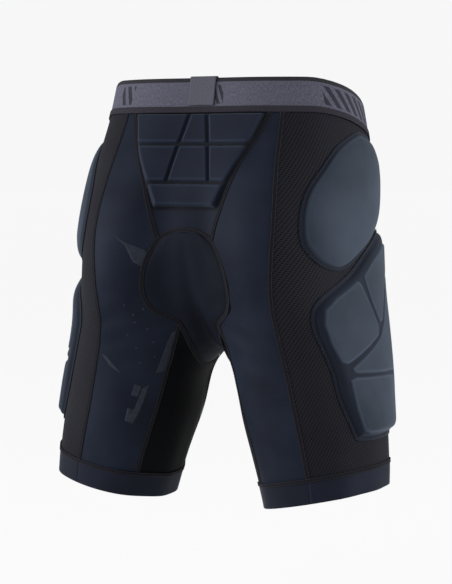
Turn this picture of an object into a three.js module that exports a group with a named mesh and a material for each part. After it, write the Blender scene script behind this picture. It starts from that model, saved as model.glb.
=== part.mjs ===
// Padded impact shorts, as they stand when worn: a shell of sewn panels with foam pads at the tailbone,
// hips and thighs, a seat pad in the crotch, an elastic waistband and gripper hems.
//
// Frame: +Z up, the wearer faces -Y, so the wearer's left is +X and the back of the shorts is +Y.
// The origin is the middle of the waist opening, level with the waistband's top edge at the centre back.
// Everything lies on one body form. "Level" is the distance out from it, and layers are stacked by level.
import * as THREE from "three";

// ---------------------------------------------------------------- driving dimensions, in millimetres
const formLength = 460; // height over which the body form's stations are spread
const seatWidth = 328; // width of the body form across the seat
const bandHeight = 35;
const bandThickness = 1.8;
const waistGap = 0.8; // between the waistband and the panels below it, under the tape
const bandDrop = 0.33; // how steeply the waistband falls towards the front
const bandDropStart = 52; // it begins to fall this far behind the origin
const bandDropEase = 12; // over which the fall sets in
const tapeHeight = 5; // the ribbed tape that covers the waist seam
const fabric = 1.2; // thickness of every shell panel
const liningThickness = 1.0;
const hemSeamDepth = 411; // of the hem seam below the origin, at the leg's axis
const hemTilt = 14; // the outer side of the hem lies this much higher
const hemHeight = 24;
const hemThickness = 1.8; // folded double
const gripperHeight = 14;
const gripperThickness = 0.8;
const clearance = 0.3; // between neighbouring panels
const layerGap = 0.9; // between layers, which leaves room for their facets
const loopWidth = 30;
const loopThickness = 1.2;
const loopGap = 0.5; // between the loop and the waistband
const loopTail = 16; // how far the loop reaches down inside the waistband
const tailFoam = 6;
const hipFoam = 9;
const thighFoam = 9;
const seatFoam = 7;
const padEdge = 3; // height of a pad's side wall
const coverThickness = 1;
const coverFlange = 7; // fabric left flat around a pad, for its stitching
const seamWidth = 4;
const seamThickness = 0.7;
const seamLift = 0.6; // from a panel to the seam over its edge
const hipPadLength = 180;
const hipPadWidth = 108;
const hipPadAngle = 76; // of its middle about the leg
const hipPadGap = 0.75; // from the waist tape's lower edge down to the pad cover's nearest point
const hipPadTilt = 34; // its front end is the higher one
const padGap = 5; // mesh left showing between the hip pad's cover and the thigh pad's cover
const thighPadAngle = 84; // of its middle about the leg
const thighPadToHem = 42; // from the thigh pad's lower edge to the hem seam
const tailPadMargin = 10; // from the yoke's seams to the tailbone pad
const seatPadMargin = 6; // from the gusset's seam to the seat pad

// Sections of one leg of the body form, from the waist down: the height as a share of formLength, the leg's
// axis (x, y), then how far the section reaches outwards, inwards, backwards and forwards from that axis.
const stations = [
  { at: 0.0, x: 54, y: 0, out: 88, in: 74, back: 76, front: 104 },
  { at: 0.087, x: 58, y: 0, out: 92, in: 77, back: 88, front: 106 },
  { at: 0.217, x: 68, y: 4, out: 92, in: 79, back: 114, front: 108 },
  { at: 0.348, x: 76, y: 8, out: 88, in: 80, back: 131, front: 112 },
  { at: 0.467, x: 84, y: 12, out: 84, in: 82, back: 125, front: 112 },
  { at: 0.576, x: 91, y: 16, out: 85, in: 86, back: 106, front: 107 },
  { at: 0.717, x: 101, y: 24, out: 86, in: 83, back: 93, front: 96 },
  { at: 0.859, x: 113, y: 33, out: 82, in: 74, back: 83, front: 86 },
  { at: 0.957, x: 120, y: 38, out: 77, in: 68, back: 77, front: 80 },
  { at: 1.0, x: 123, y: 41, out: 75, in: 66, back: 75, front: 78 },
];
// The pelvis fills the middle: how far it reaches back at a height, and its rounded lower end, the crotch.
const pelvisBack = [
  { at: 0.0, back: 62 },
  { at: 0.087, back: 73 },
  { at: 0.217, back: 99 },
  { at: 0.348, back: 116 },
  { at: 0.467, back: 108 },
  { at: 1.0, back: 108 },
];
const pelvisHalfWidth = 58;
const pelvisFront = 104;
const pelvisDomeTop = 0.402;
const crotchDepth = 0.61;
const blendRadius = 18; // rounds the valleys between the legs and the pelvis
const blendFill = 1.6; // how many parts count as touching, which keeps the blend from swelling

// ---------------------------------------------------------------- the body form
const grade = seatWidth / 328;
const radians = THREE.MathUtils.degToRad;
const degrees = THREE.MathUtils.radToDeg;
const mix = THREE.MathUtils.lerp;
const range = (count) => Array.from({ length: count + 1 }, (_, i) => i / count);

// A smooth curve through the stations' values at one height.
function along(list, height) {
  const share = THREE.MathUtils.clamp(-height / formLength, 0, 1);
  const last = list.length - 1;
  let i = 0;
  while (i < last - 1 && share > list[i + 1].at) i += 1;
  const span = list[i + 1].at - list[i].at;
  const t = (share - list[i].at) / span;
  const rate = (k, key) => {
    const a = Math.max(k - 1, 0);
    const b = Math.min(k + 1, last);
    return (list[b][key] - list[a][key]) / (list[b].at - list[a].at);
  };
  const value = {};
  for (const key of Object.keys(list[0])) {
    if (key === "at") continue;
    const p = list[i][key];
    const q = list[i + 1][key];
    const m = rate(i, key) * span;
    const n = rate(i + 1, key) * span;
    const t2 = t * t;
    const t3 = t2 * t;
    value[key] =
      grade * (p * (2 * t3 - 3 * t2 + 1) + m * (t3 - 2 * t2 + t) + q * (3 * t2 - 2 * t3) + n * (t3 - t2));
  }
  return value;
}

// Roughly the distance from an ellipse or ellipsoid with these half sizes.
function ellipseDistance(offsets, halves) {
  const r = Math.hypot(...offsets.map((d, i) => d / halves[i]));
  const slope = Math.hypot(...offsets.map((d, i) => d / halves[i] ** 2));
  return slope > 1e-9 ? ((r - 1) * r) / slope : -50;
}

function legDistance(x, y, leg) {
  const dx = x - leg.x;
  const dy = y - leg.y;
  return ellipseDistance([dx, dy], [dx > 0 ? leg.out : leg.in, dy > 0 ? leg.back : leg.front]);
}

function pelvisDistance(x, y, z) {
  const back = along(pelvisBack, z).back;
  const domeTop = -pelvisDomeTop * formLength;
  const domeHeight = (crotchDepth - pelvisDomeTop) * formLength;
  const down = Math.max(0, domeTop - z);
  const halves = [pelvisHalfWidth * grade, y > 0 ? back : pelvisFront * grade, domeHeight];
  return ellipseDistance([x, y, down], halves);
}

// The form's distance function: negative inside, 0 on the form. Both legs and the pelvis melt together.
function formDistance(p) {
  const leg = along(stations, p.z);
  const parts = [legDistance(p.x, p.y, leg), legDistance(-p.x, p.y, leg), pelvisDistance(p.x, p.y, p.z)];
  const nearest = Math.min(...parts);
  const sum = parts.reduce((total, d) => total + Math.exp((nearest - d) / blendRadius), 0);
  return nearest - blendRadius * Math.log(sum / blendFill);
}

function formNormal(p) {
  const step = 0.5;
  const slope = (axis) => {
    const a = p.clone();
    const b = p.clone();
    a[axis] += step;
    b[axis] -= step;
    return (formDistance(a) - formDistance(b)) / (2 * step);
  };
  return new THREE.Vector3(slope("x"), slope("y"), slope("z"));
}

// Moves a point straight out or in until it lies at this level.
function atLevel(point, level) {
  const p = point.clone();
  for (let i = 0; i < 6; i += 1) {
    const slope = formNormal(p);
    p.addScaledVector(slope, (level - formDistance(p)) / slope.lengthSq());
  }
  return p;
}

// Where a level ray from (x, y) at this height first meets a level.
// Angle 0 points back, 90 to the wearer's left.
function castRay(x, y, z, angle, level = 0) {
  const way = new THREE.Vector3(Math.sin(radians(angle)), Math.cos(radians(angle)), 0);
  const start = new THREE.Vector3(x, y, z);
  const inside = (reach) => formDistance(start.clone().addScaledVector(way, reach)) < level;
  const stride = 8 * grade;
  let far = stride;
  while (inside(far)) far += stride;
  let near = far - stride;
  for (let i = 0; i < 24; i += 1) {
    const middle = (near + far) / 2;
    if (inside(middle)) near = middle;
    else far = middle;
  }
  return start.addScaledVector(way, near);
}

// A point on the left leg: its angle about the leg's axis and its height.
function onLeg(angle, z) {
  const leg = along(stations, z);
  return castRay(leg.x, leg.y, z, angle);
}

function legAngle(p) {
  const leg = along(stations, p.z);
  return degrees(Math.atan2(p.x - leg.x, p.y - leg.y));
}

// A point on the torso: its angle about the vertical through the origin and its height.
const onTorso = (angle, z) => castRay(0, 0, z, angle);

// A point on the back of the torso, this far to the wearer's left of the centre.
const onBack = (x, z, level) => castRay(x, 0, z, 0, level);

// ---------------------------------------------------------------- edges and seams on the form
// Rows run from the waist seam (0) to the hem seam. The yoke ends at yokeRow and the gusset at crotchRow.
const rows = 20;
const yokeRow = 7;
const crotchRow = 11;
const gussetFrontRow = 7; // the gusset's front end, on the front panels' rows

// The waistband's top edge is level behind and falls towards the front.
function waistEdge(y) {
  const ahead = Math.max(0, bandDropStart * grade - y);
  return (-bandDrop * ahead * ahead) / (ahead + bandDropEase);
}

// The height of a line that follows the waist edge, where it crosses this angle.
function waistLine(place, angle, below) {
  let z = -below;
  for (let i = 0; i < 6; i += 1) z = waistEdge(place(angle, z).y) - below;
  return z;
}

const hemSeam = (angle) => -hemSeamDepth + hemTilt * Math.sin(radians(angle));
const panelTop = (angle) => waistLine(onLeg, angle, bandHeight + waistGap);
const panelBottom = (angle) => hemSeam(angle) + clearance;
// Down to the crotch the rows keep to the body, as if the hem seam lay at this share of the form. Below the
// crotch they spread evenly to wherever the hem seam is.
const patternHem = (411 / 460) * formLength;
const patternBottom = (angle) => panelBottom(angle) + hemSeamDepth - patternHem;
function panelHeight(angle, t) {
  const crotch = crotchRow / rows;
  if (t <= crotch) return mix(panelTop(angle), patternBottom(angle), t);
  const start = mix(panelTop(angle), patternBottom(angle), crotch);
  return mix(start, panelBottom(angle), (t - crotch) / (1 - crotch));
}

// A value read off a list of [share, value] pairs, rounded smoothly between them.
function follow(list, t) {
  let i = 0;
  while (i < list.length - 2 && t > list[i + 1][0]) i += 1;
  const rate = (k) => {
    const a = Math.max(k - 1, 0);
    const b = Math.min(k + 1, list.length - 1);
    return (list[b][1] - list[a][1]) / (list[b][0] - list[a][0]);
  };
  const span = list[i + 1][0] - list[i][0];
  const s = THREE.MathUtils.clamp((t - list[i][0]) / span, 0, 1);
  const bend = (s * s * s - 2 * s * s + s) * rate(i) + (s * s * s - s * s) * rate(i + 1);
  return mix(list[i][1], list[i + 1][1], 3 * s * s - 2 * s * s * s) + bend * span;
}


// The mesh panel's back and front seams, as angles about the leg.
const meshBackAngles = [[0, 24], [0.14, 17], [0.32, 13], [0.5, 8], [0.6, 7.5], [0.75, 10.5], [1, 15]];
const meshFrontAngles = [[0, 158], [0.3, 152], [0.6, 146], [1, 140]];
const meshBack = (t) => follow(meshBackAngles, t);
const meshFront = (t) => follow(meshFrontAngles, t);

// ---------------------------------------------------------------- the crotch gusset's own grid
// Its middle line runs from the seat under the crotch to the front. A point on it is `along` that line and
// `across` from it, measured over the form.
const gussetTop = -0.339 * formLength;
const gussetStep = 4;

// The last stretch is cut short so that the line ends on its row.
function traceMiddleLine() {
  const end = panelHeight(200, gussetFrontRow / rows);
  const line = [onBack(0, gussetTop)];
  const way = new THREE.Vector3(0, 0, -1);
  for (;;) {
    const last = line[line.length - 1];
    const slope = formNormal(last).normalize();
    way.addScaledVector(slope, -way.dot(slope)).normalize();
    const next = atLevel(last.clone().addScaledVector(way, gussetStep), 0);
    if (last.y < 0 && next.z > end) {
      const lastStretch = (end - last.z) / (next.z - last.z);
      return { line, length: (line.length - 1 + lastStretch) * gussetStep };
    }
    line.push(next);
  }
}
const { line: middleLine, length: gussetLength } = traceMiddleLine();

function onGusset(alongLine, across) {
  const place = alongLine / gussetStep;
  const i = THREE.MathUtils.clamp(Math.floor(place), 0, middleLine.length - 2);
  let p = atLevel(middleLine[i].clone().lerp(middleLine[i + 1], place - i), 0);
  const steps = Math.max(1, Math.ceil(Math.abs(across) / gussetStep));
  const way = new THREE.Vector3(Math.sign(across), 0, 0);
  for (let k = 0; k < steps && across !== 0; k += 1) {
    const slope = formNormal(p).normalize();
    way.addScaledVector(slope, -way.dot(slope)).normalize();
    p = atLevel(p.clone().addScaledVector(way, Math.abs(across) / steps), 0);
  }
  return p;
}

// Half the gusset's width at a share of its length: a round seat, then a neck between the legs.
const gussetSeatWidths = [[0, 44], [0.08, 46], [0.16, 56], [0.21, 54]];
const gussetNeckWidths = [[0.27, 33], [0.35, 27], [0.6, 30], [1, 26]];
const gussetWidths = [...gussetSeatWidths, ...gussetNeckWidths];
const gussetRound = 0.08; // the share of the length over which its upper end is rounded
const gussetBlunt = 0.006; // which leaves a short straight edge at the very top
function gussetHalfWidth(share) {
  const roundEnd = Math.sqrt(1 - Math.max(0, 1 - (share + gussetBlunt) / gussetRound) ** 2);
  return grade * follow(gussetWidths, share) * roundEnd;
}
const gussetEdge = (share) => onGusset(share * gussetLength, gussetHalfWidth(share));

// The share of the gusset's length at which a test of its left edge turns from more to less than 0.
function gussetShare(from, to, test) {
  let a = from;
  let b = to;
  for (let i = 0; i < 30; i += 1) {
    const middle = (a + b) / 2;
    if (test(gussetEdge(middle)) > 0) a = middle;
    else b = middle;
  }
  return (a + b) / 2;
}

// How far down the rows a point is, if seen at this angle.
const rowAt = (angle, z) => ((z - panelTop(angle)) / (panelBottom(angle) - panelTop(angle))) * rows;
const backRow = (p) => rowAt(legAngle(p), p.z);
const frontAngle = (p) => (legAngle(p) + 360) % 360;
const frontRow = (p) => rowAt(frontAngle(p), p.z);

// The gusset's left edge from the centre back to the centre front, at the points that its neighbours share.
const countUp = (from, to) => Array.from({ length: to - from + 1 }, (_, i) => from + i);
const backShares = countUp(yokeRow, crotchRow).map((row) =>
  gussetShare(0.01, 0.4, (p) => row - backRow(p)),
);
const frontShares = countUp(gussetFrontRow + 1, crotchRow).map((row) =>
  gussetShare(0.55, 0.999, (p) => frontRow(p) - row),
);
const [yokeCorner] = backShares;
const backCorner = backShares[backShares.length - 1];
const frontCorner = frontShares[frontShares.length - 1];
const innerColumns = 8;
const innerShares = range(innerColumns).map((s) => mix(backCorner, frontCorner, s));
const edgeShares = [
  0,
  yokeCorner / 2,
  ...backShares,
  ...innerShares.slice(1),
  ...frontShares.slice(0, -1).reverse(),
];

// The yoke's half width, down to its lower corners on the gusset's edge.
const yokeWidths = [[0, 79], [0.075, 69], [0.13, 59], [0.2, 49], [0.26, 42]];
const yokeWidth = (t) => {
  const corner = gussetEdge(yokeCorner).x / grade;
  return grade * follow([...yokeWidths, [yokeRow / rows, corner]], t);
};

// The inner thigh panel's two seams, as angles about the leg. They start at the gusset's corners.
const innerStart = crotchRow / rows;
const innerBackAngles = [[innerStart, legAngle(gussetEdge(backCorner))], [0.75, -43], [1, -40]];
const innerFrontAngles = [[innerStart, frontAngle(gussetEdge(frontCorner))], [0.75, 234], [1, 230]];
const innerBack = (t) => follow(innerBackAngles, t);
const innerFront = (t) => follow(innerFrontAngles, t);

// ---------------------------------------------------------------- solids
// A closed solid between two grids of points. A closed grid joins its last column to its first.
function slab(lower, upper, closed = false) {
  const rowsOf = lower.length;
  const columns = lower[0].length;
  const positions = [...lower.flat(), ...upper.flat()].flatMap((p) => [p.x, p.y, p.z]);
  const lowerAt = (r, c) => r * columns + (c % columns);
  const upperAt = (r, c) => rowsOf * columns + lowerAt(r, c);
  const faces = [];
  const quad = (a, b, c, d) => faces.push(a, b, c, a, c, d);
  const spans = closed ? columns : columns - 1;
  for (let r = 0; r < rowsOf - 1; r += 1) {
    for (let c = 0; c < spans; c += 1) {
      quad(upperAt(r, c), upperAt(r + 1, c), upperAt(r + 1, c + 1), upperAt(r, c + 1));
      quad(lowerAt(r, c), lowerAt(r, c + 1), lowerAt(r + 1, c + 1), lowerAt(r + 1, c));
    }
    if (!closed) {
      quad(lowerAt(r, 0), lowerAt(r + 1, 0), upperAt(r + 1, 0), upperAt(r, 0));
      quad(upperAt(r, spans), upperAt(r + 1, spans), lowerAt(r + 1, spans), lowerAt(r, spans));
    }
  }
  const end = rowsOf - 1;
  for (let c = 0; c < spans; c += 1) {
    quad(lowerAt(0, c + 1), lowerAt(0, c), upperAt(0, c), upperAt(0, c + 1));
    quad(upperAt(end, c + 1), upperAt(end, c), lowerAt(end, c), lowerAt(end, c + 1));
  }
  return geometryOf(positions, faces);
}

// A closed solid between two domes. Each is rings of points about one middle point.
function dome(lower, upper) {
  const rings = lower.rings.length;
  const spokes = lower.rings[0].length;
  const all = [...lower.rings.flat(), ...upper.rings.flat(), lower.middle, upper.middle];
  const positions = all.flatMap((p) => [p.x, p.y, p.z]);
  const lowerAt = (r, s) => r * spokes + (s % spokes);
  const upperAt = (r, s) => rings * spokes + lowerAt(r, s);
  const lowerMiddle = 2 * rings * spokes;
  const faces = [];
  const quad = (a, b, c, d) => faces.push(a, b, c, a, c, d);
  for (let s = 0; s < spokes; s += 1) {
    faces.push(lowerMiddle, lowerAt(0, s + 1), lowerAt(0, s));
    faces.push(lowerMiddle + 1, upperAt(0, s), upperAt(0, s + 1));
    for (let r = 0; r < rings - 1; r += 1) {
      quad(upperAt(r, s), upperAt(r + 1, s), upperAt(r + 1, s + 1), upperAt(r, s + 1));
      quad(lowerAt(r, s), lowerAt(r, s + 1), lowerAt(r + 1, s + 1), lowerAt(r + 1, s));
    }
    quad(lowerAt(rings - 1, s + 1), upperAt(rings - 1, s + 1), upperAt(rings - 1, s), lowerAt(rings - 1, s));
  }
  return geometryOf(positions, faces);
}

// Turns the faces out if the grid ran the other way round.
function geometryOf(positions, faces) {
  const at = (i) => new THREE.Vector3(positions[3 * i], positions[3 * i + 1], positions[3 * i + 2]);
  let volume = 0;
  for (let i = 0; i < faces.length; i += 3) {
    volume += at(faces[i]).dot(at(faces[i + 1]).cross(at(faces[i + 2])));
  }
  const index = volume < 0 ? [...faces].reverse() : faces;
  const geometry = new THREE.BufferGeometry();
  geometry.setAttribute("position", new THREE.Float32BufferAttribute(positions, 3));
  geometry.setIndex(index);
  return geometry;
}

const layer = (grid, low, high, closed) =>
  slab(
    grid.map((row) => row.map((p) => atLevel(p, low))),
    grid.map((row) => row.map((p) => atLevel(p, high))),
    closed,
  );

// ---------------------------------------------------------------- panels of the left leg
// Half the clearance beside a seam, as an angle about the leg.
const edgeInset = degrees(clearance / (80 * grade));

// A panel between two seams. Each seam gives its angle at a row.
function legPanel(columns, backSeam, frontSeam) {
  const grid = countUp(0, rows).map((row) =>
    range(columns).map((s) => {
      const angle = mix(backSeam(row) + edgeInset, frontSeam(row) - edgeInset, s);
      return onLeg(angle, panelHeight(angle, row / rows));
    }),
  );
  return layer(grid, 0, fabric);
}

// The back panel's inner seam follows the yoke, then the gusset, then the inner thigh.
function backInner(row) {
  if (row > crotchRow) return innerBack(row / rows);
  if (row >= yokeRow) return legAngle(gussetEdge(backShares[row - yokeRow]));
  let z = panelHeight(0, row / rows);
  for (let i = 0; i < 6; i += 1) z = panelHeight(legAngle(onBack(yokeWidth(row / rows), z)), row / rows);
  return legAngle(onBack(yokeWidth(row / rows), z));
}

// The front panel's inner seam follows the centre front, then the gusset, then the inner thigh.
function frontInner(row) {
  if (row > crotchRow) return innerFront(row / rows);
  if (row > gussetFrontRow) return frontAngle(gussetEdge(frontShares[row - gussetFrontRow - 1]));
  let z = panelHeight(200, row / rows);
  for (let i = 0; i < 6; i += 1) z = panelHeight(frontAngle(onTorso(180, z)), row / rows);
  return frontAngle(onTorso(180, z));
}
const meshBackAt = (row) => meshBack(row / rows);
const meshFrontAt = (row) => meshFront(row / rows);

// The inner thigh panel hangs from the gusset's edge, so its columns start there.
function innerThighPanel() {
  const ease = (share) => Math.max(0, 1 - share * 2) ** 2;
  const grid = countUp(crotchRow, rows).map((row) =>
    innerShares.map((share, column) => {
      const across = column / innerColumns;
      const top = gussetEdge(share);
      const seamAngle = (at) => mix(360 + innerBack(at / rows), innerFront(at / rows), across);
      const down = (row - crotchRow) / (rows - crotchRow);
      const shift = frontAngle(top) - seamAngle(crotchRow);
      const angle = seamAngle(row) + shift * ease(down) + edgeInset * (2 * across - 1);
      const lift = top.z - clearance * 2 - panelHeight(angle, crotchRow / rows);
      return onLeg(angle, panelHeight(angle, row / rows) + lift * (1 - down));
    }),
  );
  return layer(grid, 0, fabric);
}

// ---------------------------------------------------------------- panels across the middle
// The yoke's grid runs between the two back panels. Each column is this far in from the nearer seam.
const yokeMargins = [clearance, seamWidth, tailPadMargin - 2];
function yokeGrid(margins, innerColumnCount, heights) {
  return heights.map(({ t, above }) => {
    const half = yokeWidth(t);
    const inner = margins[margins.length - 1];
    const left = [
      ...margins.slice(0, -1).map((margin) => half - margin),
      ...range(innerColumnCount).map((s) => mix(half - inner, inner - half, s)),
    ];
    const right = margins.slice(0, -1).reverse().map((margin) => margin - half);
    return [...left, ...right].map((x) => {
      const angle = legAngle(onBack(Math.abs(x), panelHeight(0, t)));
      return onBack(x, above ? gussetTopAt(x) : panelHeight(angle, t));
    });
  });
}
// The gusset's rounded upper end, as a height above each point across the back.
function gussetTopAt(x) {
  const share = gussetShare(0, yokeCorner * 1.2, (p) => Math.abs(x) - p.x);
  return gussetEdge(share).z + clearance * 2;
}

// The yoke panel is also the tailbone pad's cover, so away from its edges it stands out over the pad.
// Heights are shares of the way from the waist seam to the hem seam.
const atHeights = (list) => list.map((t) => ({ t }));
const yokeHeights = atHeights([0, 0.03, 0.06, 0.1, 0.15, 0.2, 0.25, 0.29]);
function yokePanel() {
  const grid = yokeGrid(yokeMargins, 8, [...yokeHeights, { t: 0.31 }, { t: yokeRow / rows, above: true }]);
  const lifted = { first: 2, last: yokeHeights.length - 1 };
  const rise = liningThickness + tailFoam + layerGap;
  const level = (r, c) => {
    const inside = c > 1 && c < grid[0].length - 2;
    return inside && r >= lifted.first && r <= lifted.last ? rise : 0;
  };
  const lower = grid.map((row, r) => row.map((p, c) => atLevel(p, level(r, c))));
  const upper = grid.map((row, r) => row.map((p, c) => atLevel(p, level(r, c) + fabric)));
  return slab(lower, upper);
}
const tailPadHeights = atHeights([0.075, 0.1, 0.15, 0.2, 0.25, 0.275]);
const tailPadGrid = () => yokeGrid([tailPadMargin], 8, tailPadHeights);

// The gusset's grid: rows along it and columns across it, this far in from its edge.
// It ends in a point in front.
const gussetColumns = 8;
const gussetTip = 3;
function gussetGrid(margin) {
  const row = (share, half) => {
    const a = mix(margin, gussetLength - margin * 2, share);
    return range(gussetColumns).map((s) => onGusset(a, mix(half, -half, s)));
  };
  const shareAt = (share) => mix(margin, gussetLength - margin, share) / gussetLength;
  const halfAt = (share) => gussetHalfWidth(shareAt(share)) - margin;
  const last = edgeShares[edgeShares.length - 1];
  const tipAt = mix(last, 1, 1 - gussetTip / halfAt(last));
  return [...edgeShares.map((share) => row(share, halfAt(share))), row(tipAt, gussetTip)];
}

// ---------------------------------------------------------------- pads and their covers on the left side
// A cover's outline is a list of [angle, height]. Its pad's outline lies one flange further in.
const hipMiddle = { angle: hipPadAngle, z: -hipPadLength / 2 };
function hipOutline(inset, count = 24) {
  const tilt = radians(hipPadTilt);
  return range(count)
    .slice(1)
    .map((share) => {
      const length = (hipPadLength / 2 - inset) * Math.cos(2 * Math.PI * share);
      const width = (hipPadWidth / 2 - inset) * Math.sin(2 * Math.PI * share);
      const u = length * Math.cos(tilt) - width * Math.sin(tilt);
      const v = length * Math.sin(tilt) + width * Math.cos(tilt);
      return [hipMiddle.angle + u / perDegree(hipMiddle), hipMiddle.z + v];
    });
}
// Lowers the pad until its cover's nearest point is hipPadGap below the panels' top edge.
function hangHipPad() {
  for (let i = 0; i < 6; i += 1) {
    const gaps = hipOutline(0, 72).map(([angle, z]) => panelTop(angle) + waistGap - z);
    hipMiddle.z += Math.min(...gaps) - hipPadGap;
  }
}
hangHipPad();
function perDegree(place) {
  const leg = along(stations, place.z);
  const p = onLeg(place.angle, place.z);
  return radians(Math.hypot(p.x - leg.x, p.y - leg.y));
}

// The hip cover's lower edge at an angle about the leg.
function hipLowerEdge(angle) {
  const near = hipOutline(0, 72).filter(([a]) => Math.abs(a - angle) < 6);
  return Math.min(...near.map(([, z]) => z));
}

// The thigh cover runs under the hip cover, comes to a blunt corner behind, and narrows to its lower edge.
// Its corners, as angles about the leg: along the top, then pairs of an angle and a share of its height.
const thighTopAngles = [118, 104, 90, 76, 62];
const thighBackCorners = [[45, 0.92], [33, 0.84], [29, 0.74], [30, 0.64], [39, 0.43], [45, 0.24], [52, 0.08]];
const thighLowerCorners = [[60, 0], [76, 0], [92, 0], [108, 0], [122, 0.02]];
const thighFrontCorners = [[127, 0.2], [131, 0.4], [133, 0.6], [133, 0.8], [132, 1]];
const thighTop = (angle) => hipLowerEdge(angle) - padGap;
const thighBottom = -hemSeamDepth + thighPadToHem;
const thighDepth = thighTop(thighTopAngles[thighTopAngles.length - 1]) - thighBottom;
const thighMiddle = { angle: thighPadAngle, z: thighBottom + thighDepth / 2 };
function thighOutline(inset) {
  const top = thighTopAngles.map((angle) => [angle, thighTop(angle)]);
  const rest = [...thighBackCorners, ...thighLowerCorners, ...thighFrontCorners];
  const corners = [...top, ...rest.map(([angle, share]) => [angle, thighBottom + share * thighDepth])];
  const scale = perDegree(thighMiddle);
  return corners.map(([angle, z]) => {
    const reach = Math.hypot((angle - thighMiddle.angle) * scale, z - thighMiddle.z);
    const keep = (reach - inset) / reach;
    return [mix(thighMiddle.angle, angle, keep), mix(thighMiddle.z, z, keep)];
  });
}

// One surface of a pad: rings of points about its middle, each a share of the outline at some level.
function padRings(middle, rings) {
  const place = (angle, z, level) => atLevel(onLeg(angle, z), level);
  return {
    middle: place(middle.angle, middle.z, rings[0].level),
    rings: rings.map(({ outline, share, level }) =>
      outline.map(([angle, z]) => place(mix(middle.angle, angle, share), mix(middle.z, z, share), level)),
    ),
  };
}
const padSeat = fabric + layerGap;
const ringShares = [0.3, 0.6, 0.88];
function foamPad(middle, outlineAt, thickness) {
  const outline = outlineAt(coverFlange);
  const surface = (inner, edge) => [
    ...ringShares.map((share) => ({ outline, share, level: inner })),
    { outline, share: 1, level: edge },
  ];
  const under = surface(padSeat, padSeat);
  const over = surface(padSeat + thickness, padSeat + padEdge);
  return dome(padRings(middle, under), padRings(middle, over));
}
// The cover drapes over the pad and comes down to a flat flange around it.
function padCover(middle, outlineAt, thickness) {
  const foamOutline = outlineAt(coverFlange);
  const top = padSeat + thickness + layerGap;
  const surface = (up) => [
    ...ringShares.map((share) => ({ outline: foamOutline, share, level: top + up })),
    { outline: outlineAt(coverFlange - layerGap), share: 1, level: padSeat + padEdge + layerGap + up },
    { outline: outlineAt(coverFlange - layerGap - coverThickness - 1), share: 1, level: padSeat + up },
    { outline: outlineAt(0), share: 1, level: padSeat + up },
  ];
  return dome(padRings(middle, surface(0)), padRings(middle, surface(coverThickness)));
}

// ---------------------------------------------------------------- waistband, loop, hems
const bandColumns = 40;
function torsoRing(depths) {
  return depths.map((below) =>
    range(bandColumns)
      .slice(1)
      .map((turn) => onTorso(360 * turn, waistLine(onTorso, 360 * turn, below))),
  );
}
const waistband = () => layer(torsoRing([0, bandHeight - tapeHeight, bandHeight]), 0, bandThickness, true);
const tapeLevel = bandThickness + clearance;
const waistTape = () =>
  layer(torsoRing([bandHeight - tapeHeight, bandHeight]), tapeLevel, tapeLevel + seamThickness, true);

// The loop is flat webbing: up the outside of the band, over its top edge and a little way down inside.
function backLoop() {
  const lowest = bandHeight - tapeHeight - loopThickness;
  const over = loopGap + loopThickness;
  const outside = onBack(0, -lowest, bandThickness + loopGap).y;
  const outsideTop = onBack(0, 0, bandThickness + loopGap).y;
  const inside = onBack(loopWidth / 2, 0, -loopGap).y;
  const insideEnd = onBack(loopWidth / 2, -loopTail, -loopGap).y;
  const profile = [
    [outside, -lowest],
    [outsideTop, loopGap],
    [inside, loopGap],
    [insideEnd, -loopTail],
    [insideEnd - loopThickness, -loopTail],
    [inside - loopThickness, over],
    [outsideTop + loopThickness, over],
    [outside + loopThickness, -lowest],
  ];
  const outline = new THREE.Shape(profile.map(([y, z]) => new THREE.Vector2(y, z)));
  const loop = new THREE.ExtrudeGeometry(outline, { depth: loopWidth, bevelEnabled: false });
  // The outline is drawn in (y, z) and runs across the back.
  loop.applyMatrix4(new THREE.Matrix4().makeBasis(
    new THREE.Vector3(0, 1, 0),
    new THREE.Vector3(0, 0, 1),
    new THREE.Vector3(1, 0, 0),
  ));
  return loop.translate(-loopWidth / 2, 0, 0);
}

// Angles round the leg's hem: the side band's, then the back band's.
const hemSideColumns = 10;
const hemBackColumns = 16;
const hemSideAngles = range(hemSideColumns).map((s) => mix(meshBack(1), meshFront(1), s));
const hemBackAngles = range(hemBackColumns).map((s) => mix(meshFront(1), 360 + meshBack(1), s));
const hemRingAngles = [...hemSideAngles.slice(0, -1), ...hemBackAngles.slice(0, -1)];
const hemStrip = (angles, topBelow, bottomBelow) =>
  [topBelow, bottomBelow].map((below) => angles.map((angle) => onLeg(angle, hemSeam(angle) - below)));
function hemBand(angles) {
  const inset = [...angles];
  inset[0] += edgeInset;
  inset[inset.length - 1] -= edgeInset;
  return layer(hemStrip(inset, clearance, hemHeight), 0, hemThickness);
}
const gripperTop = hemHeight - gripperHeight - 3;
const hemGripper = () => {
  const grid = hemStrip(hemRingAngles, gripperTop, gripperTop + gripperHeight);
  return layer(grid, -clearance - gripperThickness, -clearance, true);
};
const hemSeamRing = () => {
  const level = hemThickness + clearance;
  return layer(hemStrip(hemRingAngles, -seamWidth / 2, seamWidth / 2), level, level + seamThickness, true);
};

// ---------------------------------------------------------------- seams, as flat strips over the joints
const seamLevel = fabric + seamLift;
function seamStrip(points) {
  const grid = points.map((p, i) => {
    const before = points[Math.max(i - 1, 0)];
    const after = points[Math.min(i + 1, points.length - 1)];
    const side = after.clone().sub(before).cross(formNormal(p)).normalize();
    return [-1, 1].map((way) => atLevel(p.clone().addScaledVector(side, (way * seamWidth) / 2), 0));
  });
  return layer(grid, seamLevel, seamLevel + seamThickness);
}
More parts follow.
